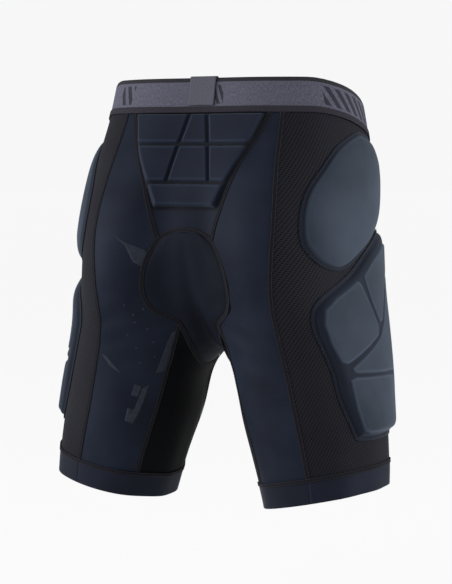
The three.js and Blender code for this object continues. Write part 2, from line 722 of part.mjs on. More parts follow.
// Points down a seam between two rows. Its ends stop short of the seams that it meets.
function seamPoints(angleAt, firstRow, lastRow, startGap, stopGap) {
  const points = countUp(firstRow, lastRow).map((row) => {
    const angle = angleAt(row);
    return onLeg(angle, panelHeight(angle, row / rows));
  });
  const pull = (a, b, gap) => a.clone().lerp(b, gap / a.distanceTo(b));
  const last = points.length - 1;
  const start = pull(points[0], points[1], startGap);
  const stop = pull(points[last], points[last - 1], stopGap);
  return [start, ...points.slice(1, -1), stop];
}
const seamGap = seamWidth / 2 + 1.5; // from a seam's end to the seam that it meets squarely
const waistEnd = 1; // from a seam's upper end to the waist seam
// Seams that meet the gusset's seam at a slant stop further off, by these multiples of seamGap.
const slant = { yoke: 2.5, innerBack: 4, innerFront: 5.5, centreFront: 2 };
const meshBackSeam = () => seamStrip(seamPoints(meshBackAt, 0, rows, waistEnd, seamGap));
const meshFrontSeam = () => seamStrip(seamPoints(meshFrontAt, 0, rows, waistEnd, seamGap));
const innerBackSeam = () =>
  seamStrip(seamPoints(backInner, crotchRow, rows, seamGap * slant.innerBack, seamGap));
const innerFrontSeam = () =>
  seamStrip(seamPoints(frontInner, crotchRow, rows, seamGap * slant.innerFront, seamGap));
const yokeSeam = () => seamStrip(seamPoints(backInner, 0, yokeRow, waistEnd, seamGap * slant.yoke));
function centreFrontSeam() {
  const points = seamPoints(frontInner, 0, gussetFrontRow, waistEnd, seamGap * slant.centreFront);
  return seamStrip(points.map((p) => onTorso(180, p.z)));
}
// The gusset's seam runs all round it, with a few points across its upper end.
function gussetSeam() {
  const ring = (out) => {
    const left = edgeShares.map((share) => [share * gussetLength, gussetHalfWidth(share) + out]);
    const right = left.map(([a, half]) => [a, -half]).reverse();
    const across = range(6).slice(1, -1).map((s) => [-out, mix(-left[0][1], left[0][1], s)]);
    const last = left[left.length - 1];
    const front = gussetLength + out * 2;
    const tip = [1, 0, -1].map((way) => [mix(front, last[0], Math.abs(way) / 2), (way * last[1]) / 2]);
    left[0][0] -= out;
    right[right.length - 1][0] -= out;
    return [...left, ...tip, ...right, ...across].map(([a, w]) => onGusset(a, w));
  };
  return layer([ring(-seamWidth / 2), ring(seamWidth / 2)], seamLevel, seamLevel + seamThickness, true);
}

// ---------------------------------------------------------------- materials
const cloth = (color, roughness) => new THREE.MeshStandardMaterial({ color, roughness, metalness: 0 });
const lycra = cloth("#232733", 0.75);
const mesh = cloth("#26272d", 0.9);
const padFabric = cloth("#454d5a", 0.7);
const elastic = cloth("#5c5c68", 0.85);
const webbing = cloth("#53535b", 0.85);
const thread = cloth("#2a2728", 0.8);
const foam = cloth("#3a3d42", 0.95);
const chamois = cloth("#2b3a4a", 0.95);
const silicone = cloth("#1b1c20", 0.45);

// ---------------------------------------------------------------- assembly
const shorts = new THREE.Group();
function add(name, geometry, material) {
  const piece = new THREE.Mesh(geometry, material);
  piece.name = name;
  shorts.add(piece);
  return piece;
}
// The right side is the left side seen in a mirror.
function addPair(name, geometry, material) {
  add(`${name}_left`, geometry, material);
  add(`${name}_right`, geometry, material).scale.x = -1;
}

add("waistband", waistband(), elastic);
add("waist_seam_tape", waistTape(), thread);
add("back_loop", backLoop(), webbing);
add("yoke_panel", yokePanel(), lycra);
add("tailbone_pad", layer(tailPadGrid(), liningThickness, liningThickness + tailFoam), foam);
add("tailbone_lining", layer(tailPadGrid(), 0, liningThickness - clearance), mesh);
add("crotch_gusset", layer(gussetGrid(clearance * 2), 0, fabric), lycra);
add("seat_pad", layer(gussetGrid(seatPadMargin), -layerGap - seatFoam, -layerGap), chamois);
addPair("back_leg_panel", legPanel(5, backInner, meshBackAt), lycra);
addPair("side_mesh_panel", legPanel(10, meshBackAt, meshFrontAt), mesh);
addPair("front_leg_panel", legPanel(5, meshFrontAt, frontInner), lycra);
addPair("inner_thigh_panel", innerThighPanel(), lycra);
addPair("hip_pad", foamPad(hipMiddle, hipOutline, hipFoam), foam);
addPair("hip_pad_cover", padCover(hipMiddle, hipOutline, hipFoam), padFabric);
addPair("thigh_pad", foamPad(thighMiddle, thighOutline, thighFoam), foam);
addPair("thigh_pad_cover", padCover(thighMiddle, thighOutline, thighFoam), padFabric);
addPair("hem_band_side", hemBand(hemSideAngles), lycra);
addPair("hem_band_back", hemBand(hemBackAngles), lycra);
addPair("hem_gripper", hemGripper(), silicone);
addPair("hem_seam", hemSeamRing(), thread);
addPair("yoke_seam", yokeSeam(), thread);
addPair("mesh_back_seam", meshBackSeam(), thread);
addPair("mesh_front_seam", meshFrontSeam(), thread);
addPair("inner_back_seam", innerBackSeam(), thread);
addPair("inner_front_seam", innerFrontSeam(), thread);
add("gusset_seam", gussetSeam(), thread);
add("centre_front_seam", centreFrontSeam(), thread);

export default shorts;
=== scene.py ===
# %% [markdown]
# # Padded impact shorts
# Close-fitting shorts that soak up falls: stretch cloth with foam at the tailbone, hips and outer thighs, a
# seat pad in the crotch, a wide elastic waistband with a webbing loop, and gripper hems. They are shown as
# worn, from behind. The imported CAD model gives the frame. Every soft piece is made again here, because a
# CAD solid has no seams, grooves or weave.

import math

import bmesh
import bpy
import numpy as np
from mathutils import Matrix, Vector


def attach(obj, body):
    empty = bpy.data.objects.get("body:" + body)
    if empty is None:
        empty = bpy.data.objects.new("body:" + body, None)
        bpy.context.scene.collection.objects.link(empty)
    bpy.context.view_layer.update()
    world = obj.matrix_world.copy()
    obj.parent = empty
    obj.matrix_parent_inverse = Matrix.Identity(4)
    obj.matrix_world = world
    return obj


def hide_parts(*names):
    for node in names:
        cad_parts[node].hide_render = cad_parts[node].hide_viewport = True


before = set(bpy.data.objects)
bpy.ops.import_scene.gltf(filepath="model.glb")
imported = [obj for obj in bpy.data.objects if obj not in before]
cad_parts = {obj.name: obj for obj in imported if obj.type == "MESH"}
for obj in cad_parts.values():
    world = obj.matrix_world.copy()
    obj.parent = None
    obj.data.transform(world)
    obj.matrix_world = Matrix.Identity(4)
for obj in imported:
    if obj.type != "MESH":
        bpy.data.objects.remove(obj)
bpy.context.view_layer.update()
MM = 0.001

# %% [markdown]
# ## The body that the shorts fit
# Nobody is inside, but the cloth has the shape of hips and thighs. One formula describes that body: two leg
# tubes with an oval section at each height, and an egg-like pelvis, melted together. Cloth, pads and seams
# all lie at some "level", a distance out from the body, so they stack without touching.
# Sizes are in millimetres until a mesh is made. Angles about a leg start at the back and grow outwards.

# %% The body's measurements
FORM_LENGTH = 460.0
# share of the length down; leg axis x, y; then how far the leg reaches out, in, back and forward
LEG = np.array([
    [0.000, 54, 0, 88, 74, 76, 104],
    [0.087, 58, 0, 92, 77, 88, 106],
    [0.217, 68, 4, 92, 79, 114, 108],
    [0.348, 76, 8, 88, 80, 131, 112],
    [0.467, 84, 12, 84, 82, 125, 112],
    [0.576, 91, 16, 85, 86, 106, 107],
    [0.717, 101, 24, 86, 83, 93, 96],
    [0.859, 113, 33, 82, 74, 83, 86],
    [0.957, 120, 38, 77, 68, 77, 80],
    [1.000, 123, 41, 75, 66, 75, 78],
])
PELVIS_BACK = np.array([[0, 62], [0.087, 73], [0.217, 99], [0.348, 116], [0.467, 108], [1, 108]])
PELVIS_HALF_WIDTH, PELVIS_FRONT = 58.0, 104.0
DOME_TOP, CROTCH = 0.402 * FORM_LENGTH, 0.61 * FORM_LENGTH
BLEND = 18.0  # rounds the valleys where the parts meet


# %% Smooth curves through a table
def through(table, share):
    """The values at a share, on a smooth curve through a table of [share, value, ...]."""
    table = np.asarray(table, float)
    at, value = table[:, 0], table[:, 1:]
    last = len(at) - 1
    before = np.maximum(np.arange(last + 1) - 1, 0)
    after = np.minimum(np.arange(last + 1) + 1, last)
    rate = (value[after] - value[before]) / (at[after] - at[before])[:, None]
    share = np.asarray(share, float)
    i = np.clip(np.searchsorted(at, share) - 1, 0, last - 1)
    span = (at[i + 1] - at[i])[..., None]
    t = np.clip((share - at[i])[..., None] / span, 0, 1)
    ease = t * t * (3 - 2 * t)
    curve = value[i] * (1 - ease) + value[i + 1] * ease
    curve += rate[i] * span * t * (1 - t) ** 2 - rate[i + 1] * span * (1 - t) * t * t
    return curve


def follow(table, share):
    return through(table, share)[..., 0]


# %% The body's formula
def oval(offsets, halves):
    """Roughly the distance from an oval with these half sizes."""
    reach = np.sqrt(sum((d / h) ** 2 for d, h in zip(offsets, halves)))
    slope = np.sqrt(sum((d / h ** 2) ** 2 for d, h in zip(offsets, halves)))
    return np.where(slope > 1e-9, (reach - 1) * reach / np.maximum(slope, 1e-9), -50)


def body_distance(p):
    """Below 0 inside the body, 0 on it."""
    x, y, z = p[..., 0], p[..., 1], p[..., 2]
    share = np.clip(-z / FORM_LENGTH, 0, 1)
    leg = through(LEG, share)
    behind, ahead = leg[..., 4], leg[..., 5]
    parts = []
    for side in (1, -1):
        dx, dy = side * x - leg[..., 0], y - leg[..., 1]
        width = np.where(dx > 0, leg[..., 2], leg[..., 3])
        parts.append(oval((dx, dy), (width, np.where(dy > 0, behind, ahead))))
    depth = np.where(y > 0, follow(PELVIS_BACK, share), PELVIS_FRONT)
    down = np.maximum(0, -DOME_TOP - z)
    parts.append(oval((x, y, down), (PELVIS_HALF_WIDTH, depth, CROTCH - DOME_TOP)))
    nearest = np.minimum(np.minimum(parts[0], parts[1]), parts[2])
    total = sum(np.exp((nearest - d) / BLEND) for d in parts)
    return nearest - BLEND * np.log(total / 1.6)


def slope(p):
    """Which way is out, and how fast the distance grows."""
    out = np.empty_like(p)
    for axis in range(3):
        step = np.zeros(3)
        step[axis] = 0.5
        out[..., axis] = body_distance(p + step) - body_distance(p - step)
    return out


def settle(p, level, rounds=3):
    """Moves points straight out or in until they lie at a level."""
    p = np.array(p, float)
    level = np.asarray(level, float)
    for _ in range(rounds):
        way = slope(p)
        p += way * ((level - body_distance(p)) / (way ** 2).sum(-1))[..., None]
    return p


def cast(x, y, z, angle):
    """Where a level ray from (x, y) at height z meets the body. Angle 0 points back."""
    x, y, z, angle = np.broadcast_arrays(*(np.asarray(v, float) for v in (x, y, z, angle)))
    turn = np.radians(angle)
    start = np.stack([x, y, z], -1)
    way = np.stack([np.sin(turn), np.cos(turn), np.zeros_like(turn)], -1)
    far = np.full(x.shape, 8.0)
    for _ in range(40):
        inside = body_distance(start + way * far[..., None]) < 0
        if not inside.any():
            break
        far = np.where(inside, far + 8, far)
    near = far - 8
    for _ in range(14):
        middle = (near + far) / 2
        inside = body_distance(start + way * middle[..., None]) < 0
        near, far = np.where(inside, middle, near), np.where(inside, far, middle)
    return start + way * near[..., None]


# %% [markdown]
# ## Where the seams run
# A pattern cutter draws on flat paper. Here each leg has a flat map: `u` is the way round it in millimetres
# and `z` the height. The middle of the back has a map of its own, `x` and `z`. A seam is a line on a map.

# %% Flat maps of the leg and the back
PER_DEGREE = 1.5  # millimetres round the leg for a degree


def leg_axis(z):
    leg = through(LEG, np.clip(-np.asarray(z, float) / FORM_LENGTH, 0, 1))
    return leg[..., 0], leg[..., 1]


def on_leg(flat):
    x, y = leg_axis(flat[:, 1])
    return cast(x, y, flat[:, 1], flat[:, 0] / PER_DEGREE)


def on_back(flat):
    return cast(flat[:, 0], 0, flat[:, 1], 0)


def leg_map(p, wrap=False):
    """Points of the body as flat points of the left leg's map."""
    x, y = leg_axis(p[:, 2])
    angle = np.degrees(np.arctan2(p[:, 0] - x, p[:, 1] - y))
    angle = angle % 360 if wrap else angle
    return np.stack([angle * PER_DEGREE, p[:, 2]], 1)


# %% Waist and hem
BAND_HEIGHT, WAIST_GAP = 35.0, 0.8
HEM_DEPTH, HEM_TILT = 411.0, 14.0  # the hem seam dips and rises by the tilt round the leg


FALL_START, FALL_SLOPE, FALL_EASE = 52.0, 0.33, 12.0  # from what y, how steeply, how softly it begins


def waist_edge(y):
    """The band's top edge: level behind, falling towards the front."""
    ahead = np.maximum(0, FALL_START - y)
    return -FALL_SLOPE * ahead ** 2 / (ahead + FALL_EASE)


def waist_height(place, angle, below):
    """The height of a line that runs a way below the band's top edge."""
    z = np.full(np.shape(angle), -float(below))
    for _ in range(6):
        z = waist_edge(place(angle, z)[..., 1]) - below
    return z


TURN = np.arange(0, 361, 4.0)
top_heights = waist_height(lambda a, z: cast(*leg_axis(z), z, a), TURN, BAND_HEIGHT + WAIST_GAP)
band_heights = waist_height(lambda a, z: cast(0, 0, z, a), TURN, 0)


def panel_top(angle):
    return np.interp(np.asarray(angle) % 360, TURN, top_heights)


def hem_seam(angle):
    return -HEM_DEPTH + HEM_TILT * np.sin(np.radians(angle))


def panel_height(angle, share):
    top = panel_top(angle)
    return top + (hem_seam(angle) - top) * share


# %% Tools for lines
def resample(points, count):
    """The same line with its points evenly spaced."""
    at = np.r_[0, np.cumsum(np.linalg.norm(np.diff(points, axis=0), axis=1))]
    want = np.linspace(0, at[-1], count)
    return np.stack([np.interp(want, at, column) for column in points.T], 1)


def smooth_line(points, count, closed=False):
    """A rounded line through some points, evenly spaced. A closed one ends where it starts."""
    p = np.asarray(points, float)
    p = np.vstack([p[-1:], p, p[:2]]) if closed else np.vstack([2 * p[0] - p[1], p, 2 * p[-1] - p[-2]])
    t = np.linspace(0, 1, 12, endpoint=False)[:, None]
    parts = []
    for a, b, c, d in zip(p, p[1:], p[2:], p[3:]):
        parts.append(b + 0.5 * t * (c - a + t * (2 * a - 5 * b + 4 * c - d + t * (3 * (b - c) + d - a))))
    return resample(np.vstack([*parts, p[-2:-1]]), count)


def inside(p, loop):
    odd = np.zeros(len(p), bool)
    for (x0, y0), (x1, y1) in zip(loop, np.roll(loop, -1, 0)):
        if y0 != y1:
            crossing = (x1 - x0) * (p[:, 1] - y0) / (y1 - y0) + x0
            odd ^= ((y0 > p[:, 1]) != (y1 > p[:, 1])) & (p[:, 0] < crossing)
    return odd


def depth_in(p, loop):
    """How far inside a closed line flat points are. Outside it is below 0."""
    best = np.full(len(p), 1e9)
    for start, end in zip(loop, np.roll(loop, -1, 0)):
        way = end - start
        t = np.clip((p - start) @ way / max(way @ way, 1e-9), 0, 1)
        best = np.minimum(best, np.hypot(*(p - start - t[:, None] * way).T))
    return np.where(inside(p, loop), best, -best)


# %% The gusset's own map: along its middle line, and across
GUSSET_TOP, GUSSET_STEP, GUSSET_STEPS = -0.339 * FORM_LENGTH, 4.0, 93
middle = [cast(0, 0, GUSSET_TOP, 0.0)]
heading = np.array([0.0, 0.0, -1.0])
while len(middle) < GUSSET_STEPS:
    out = slope(middle[-1])
    out /= np.linalg.norm(out)
    heading -= out * (heading @ out)
    heading /= np.linalg.norm(heading)
    middle.append(settle(middle[-1] + heading * GUSSET_STEP, 0, 2))
middle = np.array(middle)


SIDE_STEPS = 8


def on_gusset(flat):
    """The body's points for flat points (across, along), walked sideways from the middle line."""
    across, along = flat[:, 0], flat[:, 1]
    step = np.arange(len(middle)) * GUSSET_STEP
    p = settle(np.stack([np.interp(along, step, column) for column in middle.T], 1), 0, 1)
    way = np.stack([np.sign(across), 0 * across, 0 * across], 1)
    for _ in range(SIDE_STEPS):
        out = slope(p)
        out /= np.linalg.norm(out, axis=1)[:, None]
        way -= out * (way * out).sum(1)[:, None]
        way /= np.maximum(np.linalg.norm(way, axis=1), 1e-9)[:, None]
        p = settle(p + way * (np.abs(across) / SIDE_STEPS)[:, None], 0, 1)
    return p


# %% The gusset's outline: a round seat, a neck between the legs, a point in front
SEAT = [(0, 0), (16, 3), (32, 11), (43, 25), (51, 40), (55, 57), (54, 70), (49, 81), (39, 91), (29, 99)]
NECK = [(24, 108), (23, 130), (25, 180), (28, 230), (28, 280), (22, 312), (10, 333), (0, 343)]
gusset_half = smooth_line(SEAT + NECK, 300)
gusset_edge = on_gusset(gusset_half)


def edge_index(along):
    return int(np.argmin(np.abs(gusset_half[:, 1] - along)))


yoke_corner, back_corner, front_corner = edge_index(11), edge_index(104), edge_index(270)
print("gusset edge", len(gusset_edge), "points, seat", round(2 * gusset_half[:, 0].max()), "mm wide")

# %% The seams as flat lines
shares = np.linspace(0, 1, 80)
MESH_BACK = [(0, 24), (0.14, 17), (0.32, 13), (0.5, 8), (0.6, 7.5), (0.75, 10.5), (1, 15)]
MESH_FRONT = [(0, 158), (0.3, 152), (0.6, 146), (1, 140)]


def leg_line(table):
    angle = follow(table, shares)
    return np.stack([angle * PER_DEGREE, panel_height(angle, shares)], 1)


mesh_back, mesh_front = leg_line(MESH_BACK), leg_line(MESH_FRONT)
YOKE = [(0, 79), (0.075, 69), (0.13, 59), (0.2, 49), (0.26, 42), (0.35, gusset_edge[yoke_corner, 0])]
yoke_shares = np.linspace(0, 0.35, 40)
yoke_x = follow(YOKE, yoke_shares)
yoke_z = panel_height(0, yoke_shares)
for _ in range(4):
    yoke_edge = on_back(np.stack([yoke_x, yoke_z], 1))
    yoke_z = panel_height(leg_map(yoke_edge)[:, 0] / PER_DEGREE, yoke_shares)
yoke_line = np.stack([yoke_x, yoke_z], 1)
yoke_line[-1] = gusset_edge[yoke_corner, [0, 2]]


def down_leg(corner, points):
    """A seam from a corner of the gusset to the hem, through [share, angle] points."""
    rest = [(angle * PER_DEGREE, panel_height(angle, share)) for share, angle in points]
    return smooth_line([tuple(corner), *rest], 60)


back_map, front_map = leg_map(gusset_edge), leg_map(gusset_edge, wrap=True)
inner_back = down_leg(back_map[back_corner], [(0.65, -44), (0.75, -43), (0.87, -41.5), (1, -40)])
inner_front = down_leg(front_map[front_corner], [(0.65, 237), (0.75, 234), (0.87, 232), (1, 230)])
tip_z = gusset_edge[-1, 2]
centre_z = np.linspace(panel_top(206), tip_z, 40)
centre_front = leg_map(cast(0, 0, centre_z, 180.0), wrap=True)


# %% [markdown]
# ## From a flat map to cloth
# Each panel is a grid from `create_grid` whose corners are moved to their place on the body. Its UV map holds
# flat millimetres, so weaves keep their real size. Solidify then gives the cloth its thickness, inwards.

# %% Folds that all layers share
REAR_TRIM, CROTCH_LIFT, CLEFT_DEPTH = 3.2, 9.0, 4.5  # how far the cloth sits in at three places


def hill(*terms):
    """1 at a centre and fading out round it. Each term is (place, centre, spread)."""
    return np.exp(-sum(((place - centre) / spread) ** 2 for place, centre, spread in terms))


def folds(p):
    """Millimetres that cloth on the wearer stands off the body here. Every layer uses it, so none cut each
    other.
    """
    x, y, z = p[..., 0], p[..., 1], p[..., 2]
    wide = np.abs(x)
    broad = 0.45 * np.sin(0.043 * x + 0.021 * z + 1.1) * np.sin(0.05 * y - 0.031 * z)
    low = np.clip((-z - 330) / 90, 0, 1)
    hem = low * (0.7 * np.sin(0.085 * x + 0.07 * y) + 0.5 * np.sin(0.16 * y - 0.05 * x + 2))
    under_seat = hill((wide, 62, 40), (z, -262, 34)) * (y > 0) * np.sin(0.24 * z + 0.09 * x)
    outer_rear = hill((wide, 150, 45), (y, 55, 45), (z, -200, 110))
    crotch = hill((wide, 28, 26), (y, 0, 60), (z, -322, 34))
    cleft = hill((x, 0, 10), (z, -255, 42)) * np.clip(y / 30, 0, 1)
    sunk = REAR_TRIM * outer_rear + CROTCH_LIFT * crotch + CLEFT_DEPTH * cleft
    return broad + hem + 0.9 * under_seat - sunk


def lay(p, level):
    """Lays points of the body at a level, over the folds."""
    return settle(p, level + folds(p), 3)


# %% A grid that takes its place from a function
def grid(name, columns, rows, place):
    """place(u, v) gives points in millimetres, flat points, and named numbers for the material."""
    bm = bmesh.new()
    bmesh.ops.create_grid(bm, x_segments=columns, y_segments=rows, size=0.5)
    mesh = bpy.data.meshes.new(name)
    bm.to_mesh(mesh)
    bm.free()
    corners = np.empty(len(mesh.vertices) * 3, np.float32)
    mesh.vertices.foreach_get("co", corners)
    u, v = (corners.reshape(-1, 3)[:, :2].astype(float) + 0.5).T
    points, flat, numbers = place(u, v)
    mesh.vertices.foreach_set("co", (points * MM).astype(np.float32).ravel())
    owner = np.empty(len(mesh.loops), np.int32)
    mesh.loops.foreach_get("vertex_index", owner)
    uv = mesh.uv_layers.new(name="flat")
    uv.data.foreach_set("uv", flat[owner].astype(np.float32).ravel())
    # These two carry the pad covers' darker rim and grooves (pressed cloth and painted shade) and a painted
    # highlight on plate edges.
    for key in ("raised", "crest"):
        values = numbers.get(key, np.zeros(len(points)))
        mesh.attributes.new(key, "FLOAT", "POINT").data.foreach_set("value", values.astype(np.float32))
    return mesh


def join(name, meshes, materials, closed=False):
    """One object from several meshes. Each keeps its own material; doubles merge and faces turn out."""
    bm = bmesh.new()
    for index, mesh in enumerate(meshes):
        before = len(bm.faces)
        bm.from_mesh(mesh)
        bm.faces.ensure_lookup_table()
        for face in bm.faces[before:]:
            face.material_index = min(index, len(materials) - 1)
            face.smooth = True
        bpy.data.meshes.remove(mesh)
    bmesh.ops.remove_doubles(bm, verts=bm.verts, dist=2e-5)
    if closed:
        bmesh.ops.recalc_face_normals(bm, faces=bm.faces)
    else:
        some = list(bm.faces)[::7]
        centres = np.array([face.calc_center_median() for face in some]) / MM
        normals = np.array([face.normal for face in some])
        if (normals * slope(centres)).sum() < 0:
            bmesh.ops.reverse_faces(bm, faces=bm.faces)
    mesh = bpy.data.meshes.new(name)
    bm.to_mesh(mesh)
    bm.free()
    piece = bpy.data.objects.new(name, mesh)
    bpy.context.scene.collection.objects.link(piece)
    for material in materials:
        mesh.materials.append(material)
    return piece


def thicken(piece, thickness):
    wall = piece.modifiers.new("thickness", "SOLIDIFY")
    wall.thickness, wall.offset = thickness * MM, -1


def settle_in(piece, slot, *nodes):
    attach(piece, "root")
    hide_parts(*nodes)


FLAT_ALLOWANCE = 1.02  # a sheet is cut this much over its panel
LEAST_SHARE = 0.32  # of its flat box that the cloth fills; a strip that rises and dips gets a narrower box


def declare_sheet(piece):
    """The cloth's flat size is the panel's widest way across and longest way down, with an allowance."""
    area = sum(face.area for face in piece.data.polygons)
    flat = np.array([loop.uv[:] for loop in piece.data.uv_layers["flat"].data]) * MM
    width, length = np.ptp(flat, axis=0) * FLAT_ALLOWANCE
    width = min(width, area / (LEAST_SHARE * length))
    return round(float(width), 3), round(float(length), 3), round(float(area), 4)


def mirrored(place, side):
    """The wearer's right side is the left seen in a mirror."""
    def other(u, v):
        points, flat, numbers = place(u, v)
        return points * np.array([side, 1, 1]), flat, numbers
    return other


# %% Panels between four lines
def at(line, share):
    spot = np.linspace(0, 1, len(line))
    return np.stack([np.interp(share, spot, column) for column in line.T], 1)


def patch(top, bottom, left, right):
    """Flat points between four flat lines, as a quilter's patch stretched to its edges."""
    lines = [resample(np.asarray(line, float), 400) for line in (top, bottom, left, right)]
    top, bottom, left, right = lines

    def place(u, v):
        across, down = u[:, None], v[:, None]
        mixed = (1 - down) * at(top, u) + down * at(bottom, u)
        mixed += (1 - across) * at(left, v) + across * at(right, v)
        ends = (1 - across) * ((1 - down) * top[0] + down * bottom[0])
        return mixed - ends - across * ((1 - down) * top[-1] + down * bottom[-1])
    return place


def edge_between(start, end, height):
    """The waist or hem edge of a panel, between two places round the leg."""
    u = np.linspace(start, end, 60)
    return np.stack([u, height(u / PER_DEGREE)], 1)


# %% [markdown]
# ## Finishes
# Knits and weaves are mostly small relief, so each finish is a rough shader with a bump worked out from real
# thread spacing. UV maps hold millimetres, so a Mapping scale of 1/spacing repeats a pattern at that spacing.

# %% Colours and nodes
def colour(code):
    """An sRGB hex colour as the linear numbers that a shader takes."""
    parts = [int(code[i:i + 2], 16) / 255 for i in (1, 3, 5)]
    return (*[c / 12.92 if c <= 0.04045 else ((c + 0.055) / 1.055) ** 2.4 for c in parts], 1.0)


def add(tree, kind, inputs=None, **settings):
    """Adds a node with its settings, and sets or links its inputs by name or number."""
    made = tree.nodes.new(kind)
    for key, value in settings.items():
        setattr(made, key, value)
    for key, value in (inputs or {}).items():
        if isinstance(value, bpy.types.NodeSocket):
            tree.links.new(value, made.inputs[key])
        else:
            made.inputs[key].default_value = value
    return made


def finish(name, roughness, sheen=0.0, sheen_tint="#8090a8"):
    """A new material with only its shader, ready for colour and relief."""
    material = bpy.data.materials.new(name)
    material.use_nodes = True
    tree = material.node_tree
    tree.nodes.clear()
    inputs = {"Roughness": roughness, "Specular IOR Level": 0.06, "Sheen Weight": sheen,
              "Sheen Roughness": 0.5, "Sheen Tint": colour(sheen_tint)}
    shader = add(tree, "ShaderNodeBsdfPrincipled", inputs)
    add(tree, "ShaderNodeOutputMaterial", {"Surface": shader.outputs["BSDF"]})
    return material, tree, shader


def link(tree, source, shader, socket):
    tree.links.new(source, shader.inputs[socket])


def tones(node, *stops):
    """Sets a ramp node's stops, each a position and a hex colour, and gives its colour output."""
    elements = node.color_ramp.elements
    while len(elements) < len(stops):
        elements.new(1.0)
    for element, (position, code) in zip(elements, stops):
        element.position, element.color = position, colour(code)
    return node.outputs["Color"]


# %% Lycra: a fine warp knit of nylon and elastane
# Knitted and heat-set, so it is smooth and close. Real courses are 0.4 mm apart, too fine to show, so they
# are drawn 1.1 mm apart. Its filaments give a soft bluish bloom at grazing angles.
def knit(name, dark, light, spacing=1.1, roughness=0.62, sheen=0.05):
    material, tree, shader = finish(name, roughness, sheen)
    flat = add(tree, "ShaderNodeUVMap", uv_map="flat").outputs["UV"]
    place = add(tree, "ShaderNodeTexCoord").outputs["Object"]
    scaled = add(tree, "ShaderNodeMapping", {"Vector": flat, "Scale": (1 / spacing, 0.5 / spacing, 1)})
    loops = add(tree, "ShaderNodeTexVoronoi", {"Vector": scaled.outputs["Vector"], "Scale": 1.0,
                                              "Randomness": 0.25}, voronoi_dimensions="2D")
    cloud = add(tree, "ShaderNodeTexNoise", {"Vector": place, "Scale": 14.0, "Detail": 3.0})
    tone = add(tree, "ShaderNodeMath", {0: loops.outputs["Distance"], 1: 0.35}, operation="MULTIPLY")
    mixed = add(tree, "ShaderNodeMath", {0: cloud.outputs["Fac"], 1: tone.outputs[0]}, operation="SUBTRACT")
    ramp = add(tree, "ShaderNodeValToRGB", {"Fac": mixed.outputs[0]})
    link(tree, tones(ramp, (0.12, dark), (0.62, light)), shader, "Base Color")
    bump = add(tree, "ShaderNodeBump", {"Height": loops.outputs["Distance"], "Strength": 0.25,
                                       "Distance": 0.0003}, invert=True)
    link(tree, bump.outputs["Normal"], shader, "Normal")
    return material


back_lycra = knit("warp_knit_lycra", "#0d111b", "#1b212f")
# A darker copy of the lycra for the gusset: its darkness is painted shade of the crotch.
seat_lycra_shaded = knit("warp_knit_lycra_seat_shaded", "#0a0d15", "#121620", roughness=0.66, sheen=0.03)
# A much darker copy of the lycra for the inner thighs: painted shade between the legs.
inner_lycra_shaded = knit("warp_knit_lycra_inner_shaded", "#040507", "#08090c", roughness=0.75, sheen=0.01)
hem_lycra = knit("warp_knit_lycra_hem", "#10121b", "#1b1f2b")


# %% Spacer mesh: an open warp knit
# Holes 3.4 mm by 2.2 mm apart in slanted rows, about life size. Yarn between them catches light, and the
# holes stay dark.
def open_mesh(name, hole, yarn):
    material, tree, shader = finish(name, 0.75, 0.04, "#9aa0b0")
    flat = add(tree, "ShaderNodeUVMap", uv_map="flat").outputs["UV"]
    turned = add(tree, "ShaderNodeMapping", {"Vector": flat, "Rotation": (0, 0, math.radians(24)),
                                            "Scale": (1 / 3.4, 1 / 2.2, 1)})
    holes = add(tree, "ShaderNodeTexVoronoi", {"Vector": turned.outputs["Vector"], "Scale": 1.0,
                                              "Randomness": 0.0}, voronoi_dimensions="2D")
    place = add(tree, "ShaderNodeTexCoord").outputs["Object"]
    cloud = add(tree, "ShaderNodeTexNoise", {"Vector": place, "Scale": 18.0, "Detail": 2.0})
    drift = add(tree, "ShaderNodeMath", {0: cloud.outputs["Fac"], 1: 0.2}, operation="MULTIPLY")
    tone = add(tree, "ShaderNodeMath", {0: holes.outputs["Distance"], 1: drift.outputs[0]}, operation="ADD")
    ramp = add(tree, "ShaderNodeValToRGB", {"Fac": tone.outputs[0]})
    link(tree, tones(ramp, (0.24, hole), (0.5, yarn)), shader, "Base Color")
    bump = add(tree, "ShaderNodeBump", {"Height": holes.outputs["Distance"], "Strength": 0.6,
                                       "Distance": 0.0006})
    link(tree, bump.outputs["Normal"], shader, "Normal")
    return material


side_mesh = open_mesh("spacer_mesh", "#050506", "#1d1d23")
lining_mesh = open_mesh("lining_mesh", "#0d0d10", "#26262d")


